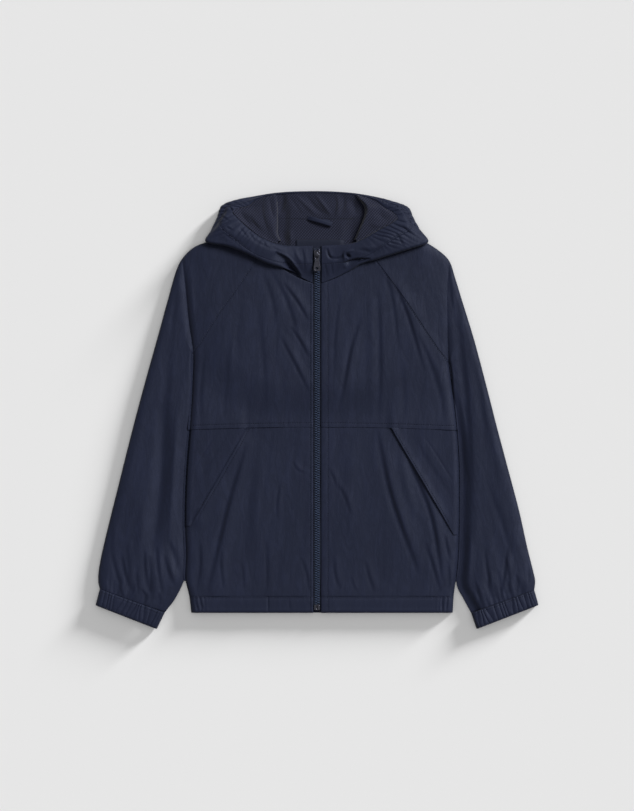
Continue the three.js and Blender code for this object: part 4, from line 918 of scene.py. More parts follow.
def makeNylon(name, dark, pale, creaseShare=0.6, tone=1.0):
    material, tree, skin = newMaterial(name, nylon["roughness"], nylon["sheen"])
    folds = placeGroup(tree, groups["crinkle"], **{"Crease Share": creaseShare})
    threads = placeGroup(tree, groups["weave"], **{"Threads": 950.0})
    place = addNode(tree, "ShaderNodeTexCoord")
    cloudy = addNode(tree, "ShaderNodeTexNoise", {
        "Vector": place.outputs["Object"], "Scale": 9.0, "Detail": 3.0})
    # painted highlight on the crest of each crinkle, with a cloudy tone that differs at random
    crestHighlightAndTone = mathNode(tree, "ADD", folds.outputs["Crest Highlight"], cloudy.outputs["Fac"])
    mixColour(tree, skin, mathNode(tree, "MULTIPLY", crestHighlightAndTone, 0.5),
              [c * tone for c in dark], [c * tone for c in pale])
    gloss = addNode(tree, "ShaderNodeMapRange", {
        "Value": folds.outputs["Height"], "To Min": nylon["roughness"] + 0.12,
        "To Max": nylon["roughness"] - 0.1})
    tree.links.new(gloss.outputs[0], skin.inputs["Roughness"])
    fine = bumpNode(tree, 0.5, nylon["weaveHeight"], threads.outputs["Height"])
    coarse = bumpNode(tree, 0.8, nylon["creaseHeight"], folds.outputs["Height"], Normal=fine)
    tree.links.new(coarse, skin.inputs["Normal"])
    return material


def makeLining(name, dark, pale, ribLean):
    material, tree, skin = newMaterial(name, 0.85, 0.15)
    ribs = placeGroup(tree, groups["diagonalRib"], **{"Lean": (0.0, 0.0, ribLean)})
    mixColour(tree, skin, ribs.outputs["Ribs"], dark, pale)
    tree.links.new(bumpNode(tree, 0.7, 0.0003, ribs.outputs["Height"]), skin.inputs["Normal"])
    return material


def makePlain(name, dark, pale, roughness, scale, bumpHeight, metallic=0.0, coat=0.0, sheen=0.0):
    material, tree, skin = newMaterial(name, roughness, sheen, metallic, coat)
    place = addNode(tree, "ShaderNodeTexCoord")
    grain = addNode(tree, "ShaderNodeTexNoise", {
        "Vector": place.outputs["Object"], "Scale": scale, "Detail": 4.0}).outputs["Fac"]
    mixColour(tree, skin, grain, dark, pale)
    tree.links.new(bumpNode(tree, 0.6, bumpHeight, grain), skin.inputs["Normal"])
    return material


def makeMaterials():
    groups["crinkle"] = makeCrinkleGroup()
    groups["weave"] = makeWeaveGroup()
    groups["diagonalRib"] = makeRibGroup()
    return {
        "shell": makeNylon("navyNylon", *nylon["shell"]),
        "casing": makeNylon("navyNylonDouble", *nylon["casing"], 0.4),
        "facing": makeNylon("facingNylon", *nylon["shell"], 0.3, 0.7),
        "lining": makeLining("knitLining", (0.0008, 0.0012, 0.0045), (0.0155, 0.0172, 0.0362), 0.72),
        "tape": makePlain("wovenTape", (0.0025, 0.004, 0.010), (0.007, 0.010, 0.023),
                          0.75, 900, 0.0001, sheen=0.1),
        "teeth": makePlain("mouldedTeeth", (0.012, 0.019, 0.040), (0.034, 0.050, 0.092),
                           0.2, 300, 0.00003, coat=0.6),
        "metal": makePlain("gunMetal", (0.045, 0.046, 0.062), (0.085, 0.087, 0.112),
                           0.24, 200, 0.00002, 0.9, 0.3),
        "thread": makePlain("sewingThread", (0.002, 0.003, 0.008), (0.006, 0.008, 0.018),
                            0.7, 1200, 0.00005),
    }


materials = makeMaterials()
print("materials ready")

# Fronts


def sideCurve(side, footY, seamX, seamY):
    read = rowReader(sleeves[side])
    gap = cloth["seamGap"]

    def raglan(row):
        at = read(row)
        return pairs(at[seamX] - sign[side] * gap, at[seamY] - 0.6 * gap)

    armpitRow, armpitShare = seams["armpitRow"], seams["armpitShare"]
    armpit = raglan(np.array(float(armpitRow)))

    def curve(v):
        v = np.asarray(v, float)
        upper = raglan(np.clip(armpitRow * (1 - v) / (1 - armpitShare), 0, armpitRow))
        share = np.clip(v / armpitShare, 0, 1)
        y = blendOf(footY, armpit[1], share)
        x = sideEdge[side](y) + (armpit[0] - sideEdge[side](armpit[1])) * share ** 4
        x = x + sign[side] * closeUp(y) * (1 - share ** 4)
        return np.where((v > armpitShare)[..., None], upper, pairs(x, y))

    return curve


frontSizes = {
    "upper": {"node": "front_upper", "flat": (0.196, 0.252), "area": {"left": 0.0335, "right": 0.0350}},
    "lower": {"node": "front_lower", "flat": (0.192, 0.232), "area": {"left": 0.0393, "right": 0.0425}},
    "flap": {"node": "pocket_flap", "flat": (0.09, 0.145), "area": {"left": 0.0056, "right": 0.0068}},
}
overFlap = {"from": 92, "to": 104, "spread": 30}  # the upper front over the end of the pocket facing
seedOf = {
    "left": {"upper": 11, "lower": 51, "flap": 91, "hem": 131, "sleeve": 191, "folds": 7, "cuff": 17},
    "right": {"upper": 31, "lower": 71, "flap": 111, "hem": 151, "sleeve": 211, "folds": 13, "cuff": 23},
}


def addFront(part, side, name, points, wall, **more):
    # one piece of a front, whose side edge is level with the sleeve or the back beside it
    sizes = frontSizes[part]
    addPiece(f"shell{name}_{side}", wallOf(points, wall, facingOf[side], **more), materials["shell"],
             f"{sizes['node']}_{side}", "shell")


def makeFrontUpper(side):
    slot = sign[side] * zipSizes["slotHalf"]
    sideLine = sideCurve(side, float(yokeSeamY(sideEdge[side](seams["yoke"]))), "frontX", "frontY")
    ends = sideLine(np.array([0.0, 1.0]))
    neck = curveThrough([tuple(ends[1]), *neckSeams[side]])
    lines = stitchLines
    us = panelSteps(178, seamEdge + aroundStitch(lines["raglan"]),
                    seamEdge + aroundStitch(lines["placket"][side]))
    vs = panelSteps(235, seamEdge + aroundStitch(lines["yoke"]), seamEdge)

    def foot(u):
        x = blendOf(ends[0, 0], slot, u)
        return pairs(x, blendOf(yokeSeamY(x), seams["yoke"], u ** 4) - cloth["lap"])

    def zipLine(v):
        return pairs(np.full_like(v, slot), blendOf(seams["yoke"], zipSizes["neck"], v))

    plan = patchOf(us, vs, sideLine, zipLine, foot, neck)
    x, y = plan[..., 0], plan[..., 1]
    edges = edgeDistances(plan)
    onRaglan = (vs > seams["armpitShare"])[:, None]
    z = frontHeight(x, y, side) + nylonWaves(x, y, seedOf[side]["upper"]) * settle(edges["near"])
    z += np.where(onRaglan, 0.7 * seamShape(edges["near"]), 0)
    over = smoothstep(np.abs(x), overFlap["from"], overFlap["to"]) * bell(edges["foot"], overFlap["spread"])
    z += (cloth["layerGap"] + cloth["flapWall"]) * over
    z += cloth["lapRise"] * bell(edges["foot"], cloth["lapReach"])
    z += np.where(onRaglan, 0.8 * stitchDip(edges["near"] - lines["raglan"], x, y), 0)
    z += 0.8 * stitchDip(edges["foot"] - lines["yoke"], x, y)
    z += 0.6 * seamShape(edges["top"]) + placketShape(edges["far"], side, x, y)
    addFront("upper", side, "FrontUpper", pack3(plan, z), cloth["shellWall"], level=vs < seams["armpitShare"])


stitchLines = {
    "placket": {"left": 3.8, "right": 9.9},  # from the fold beside the zip
    "raglan": 2.4,
    "yoke": 5.4,
    "mouth": 4.2,
    "pitch": 3.1,
    "length": 2.3,
    "radius": 0.32,
}
seamEdge = (0.3, 0.65, 1.1, 1.7)


def placketShape(distance, side, x, y):
    # the folded edge beside the zip and the groove of its topstitching
    at = stitchLines["placket"][side]
    roll = -0.9 * bell(distance, 0.9)
    puff = 0.15 * bell(distance - at * 0.5, at * 0.3)
    return roll + puff + stitchDip(distance - at, x, y)


def aroundStitch(at):
    return (at - 1.6, at - 0.9, at - 0.4, at, at + 0.4, at + 0.9, at + 1.6)


def lowerPlan(side, us, footY, topY):
    # columns run from the side edge to the zip, rows between two seams
    slot = sign[side] * zipSizes["slotHalf"]
    x0 = blendOf(sideEdge[side](seams["yoke"]), slot, us)
    top = topY(x0, us)[None] if callable(topY) else np.full((1, len(us)), topY)
    rows = panelSteps(float(np.mean(top)) - footY, seamEdge, seamEdge)
    y = blendOf(footY, top, rows[:, None])
    x = blendOf(sideEdge[side](y) + sign[side] * closeUp(y), slot, us[None])
    return pairs(x, y)


def makeFrontLower(side):
    us = panelSteps(184, seamEdge, seamEdge + aroundStitch(stitchLines["placket"][side]))
    gap = cloth["seamGap"]
    plan = lowerPlan(side, us, seams["hem"] - cloth["lap"],
                     lambda x, u: blendOf(yokeSeamY(x), seams["yoke"], u ** 4) - gap)
    x, y = plan[..., 0], plan[..., 1]
    edges = edgeDistances(plan)
    z = frontHeight(x, y, side) + nylonWaves(x, y, seedOf[side]["lower"]) * settle(edges["near"])
    z += pocketMouth(x, y, side)
    z += cloth["lapRise"] * bell(edges["foot"], cloth["lapReach"]) - 0.3 * bell(edges["top"], 0.7)
    z += placketShape(edges["far"], side, x, y)
    addFront("lower", side, "FrontLower", pack3(plan, z), cloth["shellWall"], level=slice(None))


pocketFlaps = {
    "left": {"topX": -95, "foot": -156, "sideGap": 2.0, "bluntEnd": 5},
    "right": {"topX": 100, "foot": -168, "sideGap": 2.0, "bluntEnd": 5},
}
pocketMouths = {
    "rise": {"left": 3.0, "right": -1.0}, "spread": 13, "stitch": {"left": 0.6, "right": 0},
    "tuck": {"left": 1.1, "right": -0.9}, "tuckWidth": {"left": 2.6, "right": 7},
}
flapCreases = table(creaseColumns, [
    [-136, -30, -150, -54, -165, -77, 0.5, 1.1, 0],  # where the pocket bag is stitched through
    [140, -30, 158, -56, 184, -98, 0.5, 1.1, 0],
    [-120, -30, -140, -62, -168, -106, 0.5, 7.0, 0.5],
    [-160, -132, -167, -146, -172, -158, 1.5, 2.4, 0],
    [126, -32, 150, -72, 180, -118, 0.5, 7.0, 0.5],
])


def pocketMouth(x, y, side):
    # the front along its slanted edge: over the facing on the left, under it on the right
    flap, m = pocketFlaps[side], pocketMouths
    topY = float(yokeSeamY(flap["topX"]))
    footX = float(sideEdge[side](flap["foot"])) - sign[side] * (flap["sideGap"] + flap["bluntEnd"])
    along = np.array([footX - flap["topX"], flap["foot"] - topY])
    length = float(np.linalg.norm(along))
    along = along / length
    t = ((x - flap["topX"]) * along[0] + (y - topY) * along[1]) / length
    d = ((x - flap["topX"]) * along[1] - (y - topY) * along[0]) * -sign[side]  # towards the side seam
    ends = smoothstep(t, 0, 0.2) * smoothstep(1.02 - t, 0, 0.12)
    rise = m["rise"][side] * (0.75 + 0.25 * latticeNoise(x, y, 30, 30, 401))
    raised = rise * bell(np.minimum(d, 0), m["spread"]) * (1 - smoothstep(d, -0.7, 0.3))
    groove = m["stitch"][side] * bell(d + stitchLines["mouth"], 0.75)
    return (raised - groove) * ends


def makePocketFlap(side):
    flap = pocketFlaps[side]
    us = panelSteps(78, seamEdge, seamEdge)
    vs = panelSteps(134, seamEdge, seamEdge)
    u, v = np.meshgrid(us, vs)
    top = yokeSeamY(flap["topX"]) - cloth["seamGap"]
    y = blendOf(flap["foot"], top, v)
    edge = sideEdge[side](y) - sign[side] * flap["sideGap"]
    free = blendOf(edge - sign[side] * flap["bluntEnd"], flap["topX"], v)
    x = blendOf(edge, free, u)
    y = y + (yokeSeamY(x) - cloth["seamGap"] - top) * v ** 8
    plan = pairs(x, y)
    edges = edgeDistances(plan)
    z = frontHeight(x, y, side) + cloth["layerGap"] + cloth["flapWall"]
    z += nylonWaves(x, y, seedOf[side]["flap"]) * 0.8 * settle(edges["near"])
    z -= 0.3 * bell(edges["top"], 0.7)
    tucked = bell(edges["far"], pocketMouths["tuckWidth"][side]) * smoothstep(v, 0.02, 0.3)
    z += creaseRelief(x, y, flapCreases) - pocketMouths["tuck"][side] * tucked
    addFront("flap", side, "PocketFlap", pack3(plan, z), cloth["flapWall"])


hemGathers = {"width": 26, "pitch": 5.6, "rise": 0.27}
hemCreases = table(creaseColumns, [
    [-66, -248, -66, -262, -66, -275, 0.9, 1.3, 0],
    [168, -248, 168, -262, 168, -275, 1.1, 1.4, 0],
    [-160, -250, -156, -262, -150, -273, 0.5, 2.2, 0.3],
    [-166, -250, -163, -262, -158, -273, 0.5, 2.0, 0.3],
    [176, -252, 175, -262, 173, -273, 0.7, 2.0, 0.5],
    [-36, -252, -38, -260, -36, -272, 0.4, 3.0, 0.4],
])


def makeHemFront(side):
    us = panelSteps(184, seamEdge, seamEdge + aroundStitch(stitchLines["placket"][side]), 1.0)
    plan = lowerPlan(side, us, seams["hemEdge"], seams["hem"] - cloth["seamGap"])
    x, y = plan[..., 0], plan[..., 1]
    edges = edgeDistances(plan)
    z = frontHeight(x, y, side) + cloth["bandWall"] - cloth["shellWall"] + 0.1
    gathered = np.clip(1 - edges["near"] / hemGathers["width"], 0, 1)
    phase = 2 * np.pi * edges["near"] / hemGathers["pitch"] + 0.8 * latticeNoise(x, y, 9, 14, 5)
    z += hemGathers["rise"] * np.sin(np.pi * gathered) * np.cos(phase) * np.minimum(1, edges["foot"] / 3)
    z += 0.45 * nylonWaves(x, y, seedOf[side]["hem"]) * settle(edges["near"])
    z -= 0.5 * bell(edges["top"], 5) + 0.4 * bell(edges["top"], 0.7)
    z += placketShape(edges["far"], side, x, y) + creaseRelief(x, y, hemCreases)
    z -= 2.2 * (1 - rounded(edges["foot"], 3.5))
    z += 0.3 * bell(edges["foot"] - 3.5, 1.6) - 0.35 * bell(edges["top"] - 2.8, 0.8)
    made = wallOf(pack3(plan, z), cloth["bandWall"] - 0.3, facingOf[side], level=slice(None))
    addPiece(f"hemFront_{side}", made, materials["casing"], f"hem_front_{side}", "casing")


backCreases = table(creaseColumns, [
    [-120, 150, -104, 60, -96, -40, -0.8, 6.0, 0],
    [-60, 40, -66, -60, -60, -150, -0.7, 7.0, 0],
    [10, 40, 4, -70, 12, -190, -0.6, 8.0, 0],
    [70, 30, 82, -60, 78, -160, -0.8, 6.5, 0],
    [128, 140, 120, 40, 132, -60, -0.8, 6.0, 0],
    [-140, -60, -132, -130, -140, -220, -0.9, 5.0, 0],
    [-96, -120, -90, -180, -96, -240, -0.7, 4.5, 0],
    [-30, -150, -36, -200, -30, -244, -0.7, 4.0, 0],
    [44, -140, 40, -196, 48, -244, -0.7, 4.5, 0],
    [110, -110, 118, -180, 112, -240, -0.8, 5.0, 0],
    [156, -90, 150, -160, 160, -230, -0.9, 5.0, 0],
    [-216, 40, -226, -60, -246, -170, -0.9, 7.0, 0],
    [-196, -60, -212, -140, -222, -220, -0.8, 6.0, 0],
    [-262, -150, -262, -200, -268, -236, -0.7, 4.0, 0],
    [210, 40, 226, -60, 242, -170, -0.9, 7.0, 0],
    [204, -60, 214, -140, 224, -220, -0.8, 6.0, 0],
    [262, -150, 266, -200, 262, -236, -0.7, 4.0, 0],
    [-70, 240, -80, 170, -66, 90, -0.7, 7.0, 0],
    [76, 230, 70, 160, 84, 96, -0.7, 7.0, 0],
])


def hollows(x, y, seed):
    # cloth lifted here and there from the surface it lies on
    lifted = 0.5 + 0.5 * latticeNoise(x, y, 26, 60, seed)
    return 0.35 * lifted + 2 * creaseRelief(x, y, backCreases)


def makeBack():
    gap = cloth["seamGap"]
    foot, top = seams["hem"] + gap, sleeves["left"][0]["backY"] - 0.6 * gap
    topLeft, topRight = sleeves["left"][0]["backX"] + gap, sleeves["right"][0]["backX"] - gap
    footLeft, footRight = (float(sideEdge[side](seams["hem"])) for side in sides)
    plan = patchOf(evenSteps(360, 3.4), evenSteps(508, 4.0),
                   sideCurve("left", foot, "backX", "backY"), sideCurve("right", foot, "backX", "backY"),
                   lambda u: pairs(blendOf(footLeft, footRight, u), np.full_like(u, foot)),
                   lambda u: pairs(blendOf(topLeft, topRight, u), np.full_like(u, top)))
    x, y = plan[..., 0], plan[..., 1]
    edges = edgeDistances(plan)
    free = np.minimum(np.minimum(edges["near"], edges["far"]), np.minimum(edges["foot"], edges["top"]))
    z = bed(x, y) + hollows(x, y, 171) * settle(free, 12)
    addPiece("shellBack", wallOf(pack3(plan, z), cloth["shellWall"] - 0.35, -1), materials["shell"], "back",
             "shell")
    u, v = np.meshgrid(evenSteps(360, 5.0), evenSteps(23, 3.0))
    y = blendOf(seams["hemEdge"], seams["hem"] - gap, v)
    x = blendOf(sideEdge["left"](y), sideEdge["right"](y), u)
    z = 0.25 * (0.5 + 0.5 * np.cos(x * 1.1)) * (1 - bell(v - 0.5, 0.4))
    made = wallOf(pack3(pairs(x, y), z), cloth["shellWall"] - 0.2, -1)
    addPiece("hemBack", made, materials["casing"], "hem_back", "casing")


for side in sides:
    makeFrontUpper(side)
    makeFrontLower(side)
    makePocketFlap(side)
    makeHemFront(side)
makeBack()
print("fronts and back made")

# Sleeves and cuffs

sleeveCreases = {
    "folds": 4.6, "foldHeight": 0.8,  # long soft folds above the cuff
    "gathers": 14, "gatherHeight": 2.0, "gatherReach": 17,  # short ones where the cuff draws it in
    "innerFrom": {"left": 1, "right": 5}, "innerReach": {"left": 20, "right": 18},
    "innerShare": {"left": 0.6, "right": 0.95},  # how slowly it rises beside the body
}


def makeSleeve(side):
    read = rowReader(sleeves[side])
    last = len(sleeves[side]) - 1
    upper = crowded(evenSteps(100, 1.75))
    turn = 1 + np.linspace(0, 1, 9)[1:]
    floor = 2 + np.linspace(0, 1, 25)[1:]
    rows = np.linspace(0, last, 286)
    row = {name: value[:, None] for name, value in read(rows).items()}
    below = (rows > seams["armpitRow"])[:, None]
    reach = sign[side] * closeUp(row["frontY"]) * np.minimum(1, (rows - seams["armpitRow"])[:, None]) * below
    onCap = (rows < seams["armpitRow"])[:, None]
    lap = cloth["lap"] * onCap[..., None] * np.array([sign[side], 0.7])
    front = pairs(row["frontX"] - reach, row["frontY"]) - lap
    outer = pairs(row["outerX"], row["outerY"])
    under = pairs(row["backX"] - reach, row["backY"])
    width = np.linalg.norm(outer - front, axis=-1)
    across = np.linalg.norm(outer - under, axis=-1)
    h = heights

    u = upper[None]
    plan = blendOf(front, outer, u[..., None])
    x, y = plan[..., 0], plan[..., 1]
    fromFront, fromOuter = u * width, (1 - u) * width
    c = sleeveCreases
    edges = edgeDistances(plan)
    seed = seedOf[side]["folds"]
    folds = np.sin(2 * np.pi * (c["folds"] * u + 0.45 * latticeNoise(x, y, 34, 70, seed)))
    strength = 0.55 + 0.45 * latticeNoise(x, y, 26, 50, seed + 1)
    waves = c["foldHeight"] * row["waves"] ** 2 * folds * strength
    pleats = np.abs(np.sin(np.pi * (c["gathers"] * u + 0.4 * latticeNoise(x, y, 16, 30, seed + 2)))) ** 0.55
    strength = 0.6 + 0.4 * latticeNoise(x, y, 11, 200, seed + 3)
    nearCuff = np.exp(-edges["top"] / c["gatherReach"])
    waves += c["gatherHeight"] * (pleats - 0.7) * strength * nearCuff * row["waves"]
    waves *= np.minimum(1, u * 8) * np.minimum(1, (1 - u) * 8)
    relief = creaseRelief(x, y, bodyCreases)
    slow = c["innerShare"][side] * smoothstep(rows, seams["armpitRow"] + 0.5, seams["armpitRow"] + 3)[:, None]
    gentle = smoothstep(fromFront, c["innerFrom"][side], c["innerReach"][side])
    rise = blendOf(rounded(fromFront, h["sideRadius"]), gentle, slow)
    arm = bed(x, y) + h["edgeSeat"] + (loft(y) - h["edgeSeat"]) * rise + (relief + waves) * rise
    z = np.where(onCap, frontHeight(x, y, side), arm)
    z += nylonWaves(x, y, seedOf[side]["sleeve"], -0.25 * sign[side]) * settle(fromFront)
    z += np.where(onCap, cloth["lapRise"] * bell(fromFront, cloth["lapReach"]), 0)
    z += 0.9 * seamShape(edges["top"])
    base = bed(x, y) + h["foldMiddle"]
    z = base + (z - base) * rounded(fromOuter, h["outerRadius"])
    parts = [pack3(plan, z)]

    angle = (turn[None] - 1) * np.pi / 2
    reach = h["foldTuck"] * (1 - np.cos(angle))
    plan = blendOf(outer, under, (reach / across)[..., None])
    z = bed(plan[..., 0], plan[..., 1]) + h["foldMiddle"] * (1 - np.sin(angle))
    parts.append(pack3(plan, z))

    share = blendOf(h["foldTuck"] / across, 1, floor[None] - 2)
    plan = blendOf(outer, under, share[..., None])
    x, y = plan[..., 0], plan[..., 1]
    free = np.minimum(np.minimum(1, (floor[None] - 2) * 8), np.minimum(1, (3 - floor[None]) * 8))
    parts.append(pack3(plan, bed(x, y) + hollows(x, y, 181) * free))

    made = wallOf(np.concatenate(parts, axis=1), cloth["shellWall"] - 0.2, facingOf[side],
                  level=rows >= seams["armpitRow"])
    addPiece(f"shellSleeve_{side}", made, materials["shell"], f"sleeve_{side}", "shell")


cuffSizes = {
    "height": 9.2, "gathers": 15, "rise": 1.25, "side": 7, "turn": 3.6, "middle": 0.42,
    "width": 22, "seam": 0.3, "wall": 1.5, "flat": (0.250, 0.024),
}


def cuffLine(side, share):
    # inner and outer end of a line across the cuff, at a share of its width
    seamRow, ends = sleeves[side][-1], cuffEnds[side]
    return (blendOf(np.array([seamRow["frontX"], seamRow["frontY"]]), np.array(ends["inner"]), share),
            blendOf(np.array([seamRow["outerX"], seamRow["outerY"]]), np.array(ends["outer"]), share))


def makeCuff(side):
    c = cuffSizes
    us = np.concatenate([np.linspace(0, 1, 240), 1 + np.linspace(0, 1, 8)[1:], 2 + np.linspace(0, 1, 40)[1:],
                         3 + np.linspace(0, 1, 8)[1:-1]])
    vs = np.linspace(-c["seam"] / c["width"], 1, 18)
    u, v = np.meshgrid(us, vs)
    inner, outer = cuffLine(side, v[..., None])
    width = np.linalg.norm(outer - inner, axis=-1)
    turn, middle = c["turn"] / width, c["height"] * c["middle"]
    top, bend, floor, close = u <= 1, (u > 1) & (u < 2), (u >= 2) & (u <= 3), u > 3
    ends = np.minimum(rounded(u * width, c["side"]), rounded((1 - u) * width, c["side"]))
    wobble = 0.75 * latticeNoise(u * 12, v * 2, 1.3, 2.4, seedOf[side]["cuff"])
    pleat = np.abs(np.sin(np.pi * (c["gathers"] * u + wobble))) ** 0.5
    pleat *= 0.85 + 0.3 * latticeNoise(u * 12, v * 2, 0.8, 0.9, 29)  # round crests, sharp valleys
    wave = c["rise"] * (pleat - 0.75) * ends
    wave -= 0.35 * bell(v - 0.12, 0.06) + 0.3 * bell(v - 0.88, 0.07)
    edgeRoll = 1.2 * (1 - rounded(np.minimum(v, 1 - v) * c["width"], 2.4))
    zTop = middle + (c["height"] - middle) * ends + wave * np.minimum(1, 0.35 + 3 * (1 - v)) - edgeRoll
    angle = (u - 1) * np.pi / 2
    angleClose = (u - 3) * np.pi / 2
    parts = [top, bend, floor, close]
    place = np.select(parts, [u, 1 - turn * (1 - np.cos(angle)), blendOf(1 - turn, turn, u - 2),
                              turn * (1 - np.sin(angleClose))])
    under = 0.3 * (0.5 + 0.5 * np.cos(2 * np.pi * c["gathers"] * place)) * np.sin(np.pi * v)
    z = np.select(parts, [zTop, middle * (1 - np.sin(angle)), under, middle * (1 - np.cos(angleClose))])
    made = wallOf(pack3(blendOf(inner, outer, place[..., None]), z), c["wall"], facingOf[side], ring=True)
    addPiece(f"cuffBand_{side}", made, materials["casing"], f"cuff_{side}", "casing")


for side in sides:
    makeSleeve(side)
    makeCuff(side)
print("sleeves and cuffs made")

# Hood

readHood = rowReader(hoodStations)
hoodCreases = table(creaseColumns, [
    # folds that run into the pocket left of the zip
    [-53, 212, -44, 205, -24, 190, -1.3, 3.2, 0],
    [-90, 232, -75, 223, -57, 214, 0.9, 3.2, 0.5],
    [-21, 218, -18, 207, -17, 186, 1.0, 2.6, 0.5],
    [-29, 219, -27, 209, -20, 197, -0.9, 2.6, 0],
    [-64, 221, -52, 214, -42, 209, 0.8, 2.6, 0.4],
    # puckers of the left casing
    [-120, 276, -115, 270, -110, 263, 1.5, 1.7, 0.4],
    [-130, 263, -124, 258, -117, 253, 1.2, 1.8, 0.4],
    [-123, 247, -117, 243, -110, 240, 1.1, 1.7, 0.4],
    [-104, 245, -98, 238, -93, 231, 1.2, 1.8, 0.4],
    [-92, 240, -88, 234, -83, 227, 1.0, 1.8, 0.4],
    [-76, 232, -71, 225, -68, 218, 0.9, 2.0, 0.4],
    # drape from the zip to the curl, and the curl itself
    [13, 218, 17, 206, 25, 203, 2.4, 1.8, 0.2],
    [23, 203, 30, 204, 36, 209, 2.4, 1.8, 0.2],
    [39, 210, 42, 207, 45, 208, 3.6, 1.9, 0],
    [50, 215, 37, 211, 37, 200, -2.4, 1.6, 0],
    [38, 200, 40, 196, 36, 190, -1.1, 1.8, 0],
    [36, 182, 47, 190, 57, 197, -1.2, 1.9, 0],
    [53, 215, 64, 214, 76, 211, 0.9, 3.2, 0.2],
    [10, 198, 12, 189, 14, 178, 0.7, 2.0, 0.4],
    [19, 200, 20, 191, 20, 182, 0.7, 2.0, 0.4],
    [60, 216, 82, 219, 103, 228, -0.9, 4.2, 0],
    [103, 238, 109, 232, 116, 220, 1.3, 2.4, 0.4],
    [114, 247, 120, 241, 126, 236, 1.0, 2.4, 0.4],
    [-130, 240, -118, 232, -104, 222, 0.9, 3.0, 0.4],
])
hoodLaps = table(["x1", "y1", "x2", "y2", "x3", "y3", "drop", "spread", "crest"], [
    [-56, 213, -38, 203, -21, 181, 5.5, 8.0, 0.8],  # pocket left of the zip
    [-42, 201, -32, 191, -21, 179, 4.5, 6.0, 0.2],
    [36, 198, 50, 203, 72, 204, 4.4, 5.0, 0.5],  # shadow under the curl
    [46, 206, 42, 204, 39, 209, 1.9, 3.4, 0.3],
])


def hoodSection(station):
    # profile of the hood at a station: length along it, distance from the rim, height
    h = {name: float(value) for name, value in readHood(station).items()}
    rim, edge = np.array([h["rimX"], h["rimY"]]), np.array([h["edgeX"], h["edgeY"]])
    reach = float(np.linalg.norm(edge - rim))
    low = max(h["low"], 0)
    angle = math.pi * min(max(h["turn"], 0), 1)
    radius = min(h["radius"], (h["crest"] - low) / 2)
    shoulder = low + radius * (1 - math.cos(angle))
    turnFrom = reach - radius * math.sin(min(angle, math.pi / 2))
    crestAt = min(hoodSplits["crestShare"] * reach, turnFrom - 0.4)
    t = np.linspace(0, 1, 17)
    rows = [pairs(crestAt * t, blendOf(h["rim"], h["crest"], np.sin(t * np.pi / 2))),
            pairs(blendOf(crestAt, turnFrom, t), blendOf(h["crest"], shoulder, smoothstep(t, 0, 1)))[1:]]
    if angle > 0.05:
        rows.append(pairs(turnFrom + radius * np.sin(angle * t),
                          shoulder - radius * (1 - np.cos(angle * t)))[1:])
    if h["tuck"] > 1:
        rows.append(np.array([[turnFrom - h["tuck"], low]]))
    profile = np.concatenate(rows)
    lengths = lengthsAlong(profile)
    return {
        "profile": profile, "lengths": lengths, "total": lengths[-1], "rim": rim,
        "outward": (edge - rim) / reach, "casing": min(h["casing"], lengths[-1] - 4), "gather": h["gather"],
    }


def hoodGrid(first, last, count, us, lengthOf):
    # points of a hood panel, the way out at each, and how far along its section they are
    points, ways, along = [], [], []
    for station in np.linspace(first, last, count):
        s = hoodSection(station)
        length = lengthOf(s, us)
        place, before, after = (np.stack([np.interp(length + step, s["lengths"], s["profile"][:, k])
                                          for k in (0, 1)]) for step in (0, -1, 1))
        slope = after - before
        plan = s["rim"] + np.outer(place[0], s["outward"])
        points.append(np.column_stack([plan, place[1]]))
        ways.append(np.column_stack([np.outer(-slope[1], s["outward"]), slope[0]]))
        along.append([length] + [np.full_like(length, s[name]) for name in ("casing", "gather", "total")])
    points, ways = np.array(points), np.array(ways)
    ways /= np.maximum(np.linalg.norm(ways, axis=2, keepdims=True), 1e-9)
    return points, ways, *np.array(along).transpose(1, 0, 2)


def casingGathers(points, at, gather, seed):
    # ridges across the elastic casing, counted along the rim
    rimStep = np.linalg.norm(np.diff(points[:, :1], axis=0), axis=2)
    rimLength = np.concatenate([[[0.0]], np.cumsum(rimStep, axis=0)])
    along = rimLength * np.ones_like(at)
    wobble = 0.8 * latticeNoise(along, at, 19, 22, seed)
    ridges = 1.5 * (np.abs(np.sin(np.pi * (rimLength / 6.6 + wobble))) ** 0.8 - 0.7)  # sharp valleys
    return ridges * gather * (1.0 + 0.55 * latticeNoise(along, at, 17, 30, seed + 1))


def hoodRelief(points):
    x, y = points[..., 0], points[..., 1]
    return 0.8 * nylonWaves(x, y, 270, 0.4) + creaseRelief(x, y, hoodCreases) + lapRelief(x, y, hoodLaps)


def makeHoodPanel(name, node, first, last, count, seed):
    points, ways, at, casing, gather, total = hoodGrid(
        first, last, count, evenSteps(70, 1.5),
        lambda s, u: blendOf(s["casing"] + 0.1 if s["casing"] > 1 else 0, s["total"], u))
    noSeam = 99
    push = hoodRelief(points) + casingGathers(points, at, gather, seed) * np.exp(-(at - casing) / 11)
    push += 0.7 * np.clip(gather, 0, 1) * seamShape(np.where(casing > 1, at - casing, noSeam))
    push += 0.8 * seamShape(np.where(total - at < 20, total - at, noSeam))
    push *= np.minimum(1, 0.25 + points[..., 2] / 8)
    points = points + ways * push[..., None]
    points[..., 2] = np.maximum(points[..., 2], 0)
    addPiece(name, wallOf(points, cloth["shellWall"], -1, wayOut=ways), materials["shell"], node, "shell")


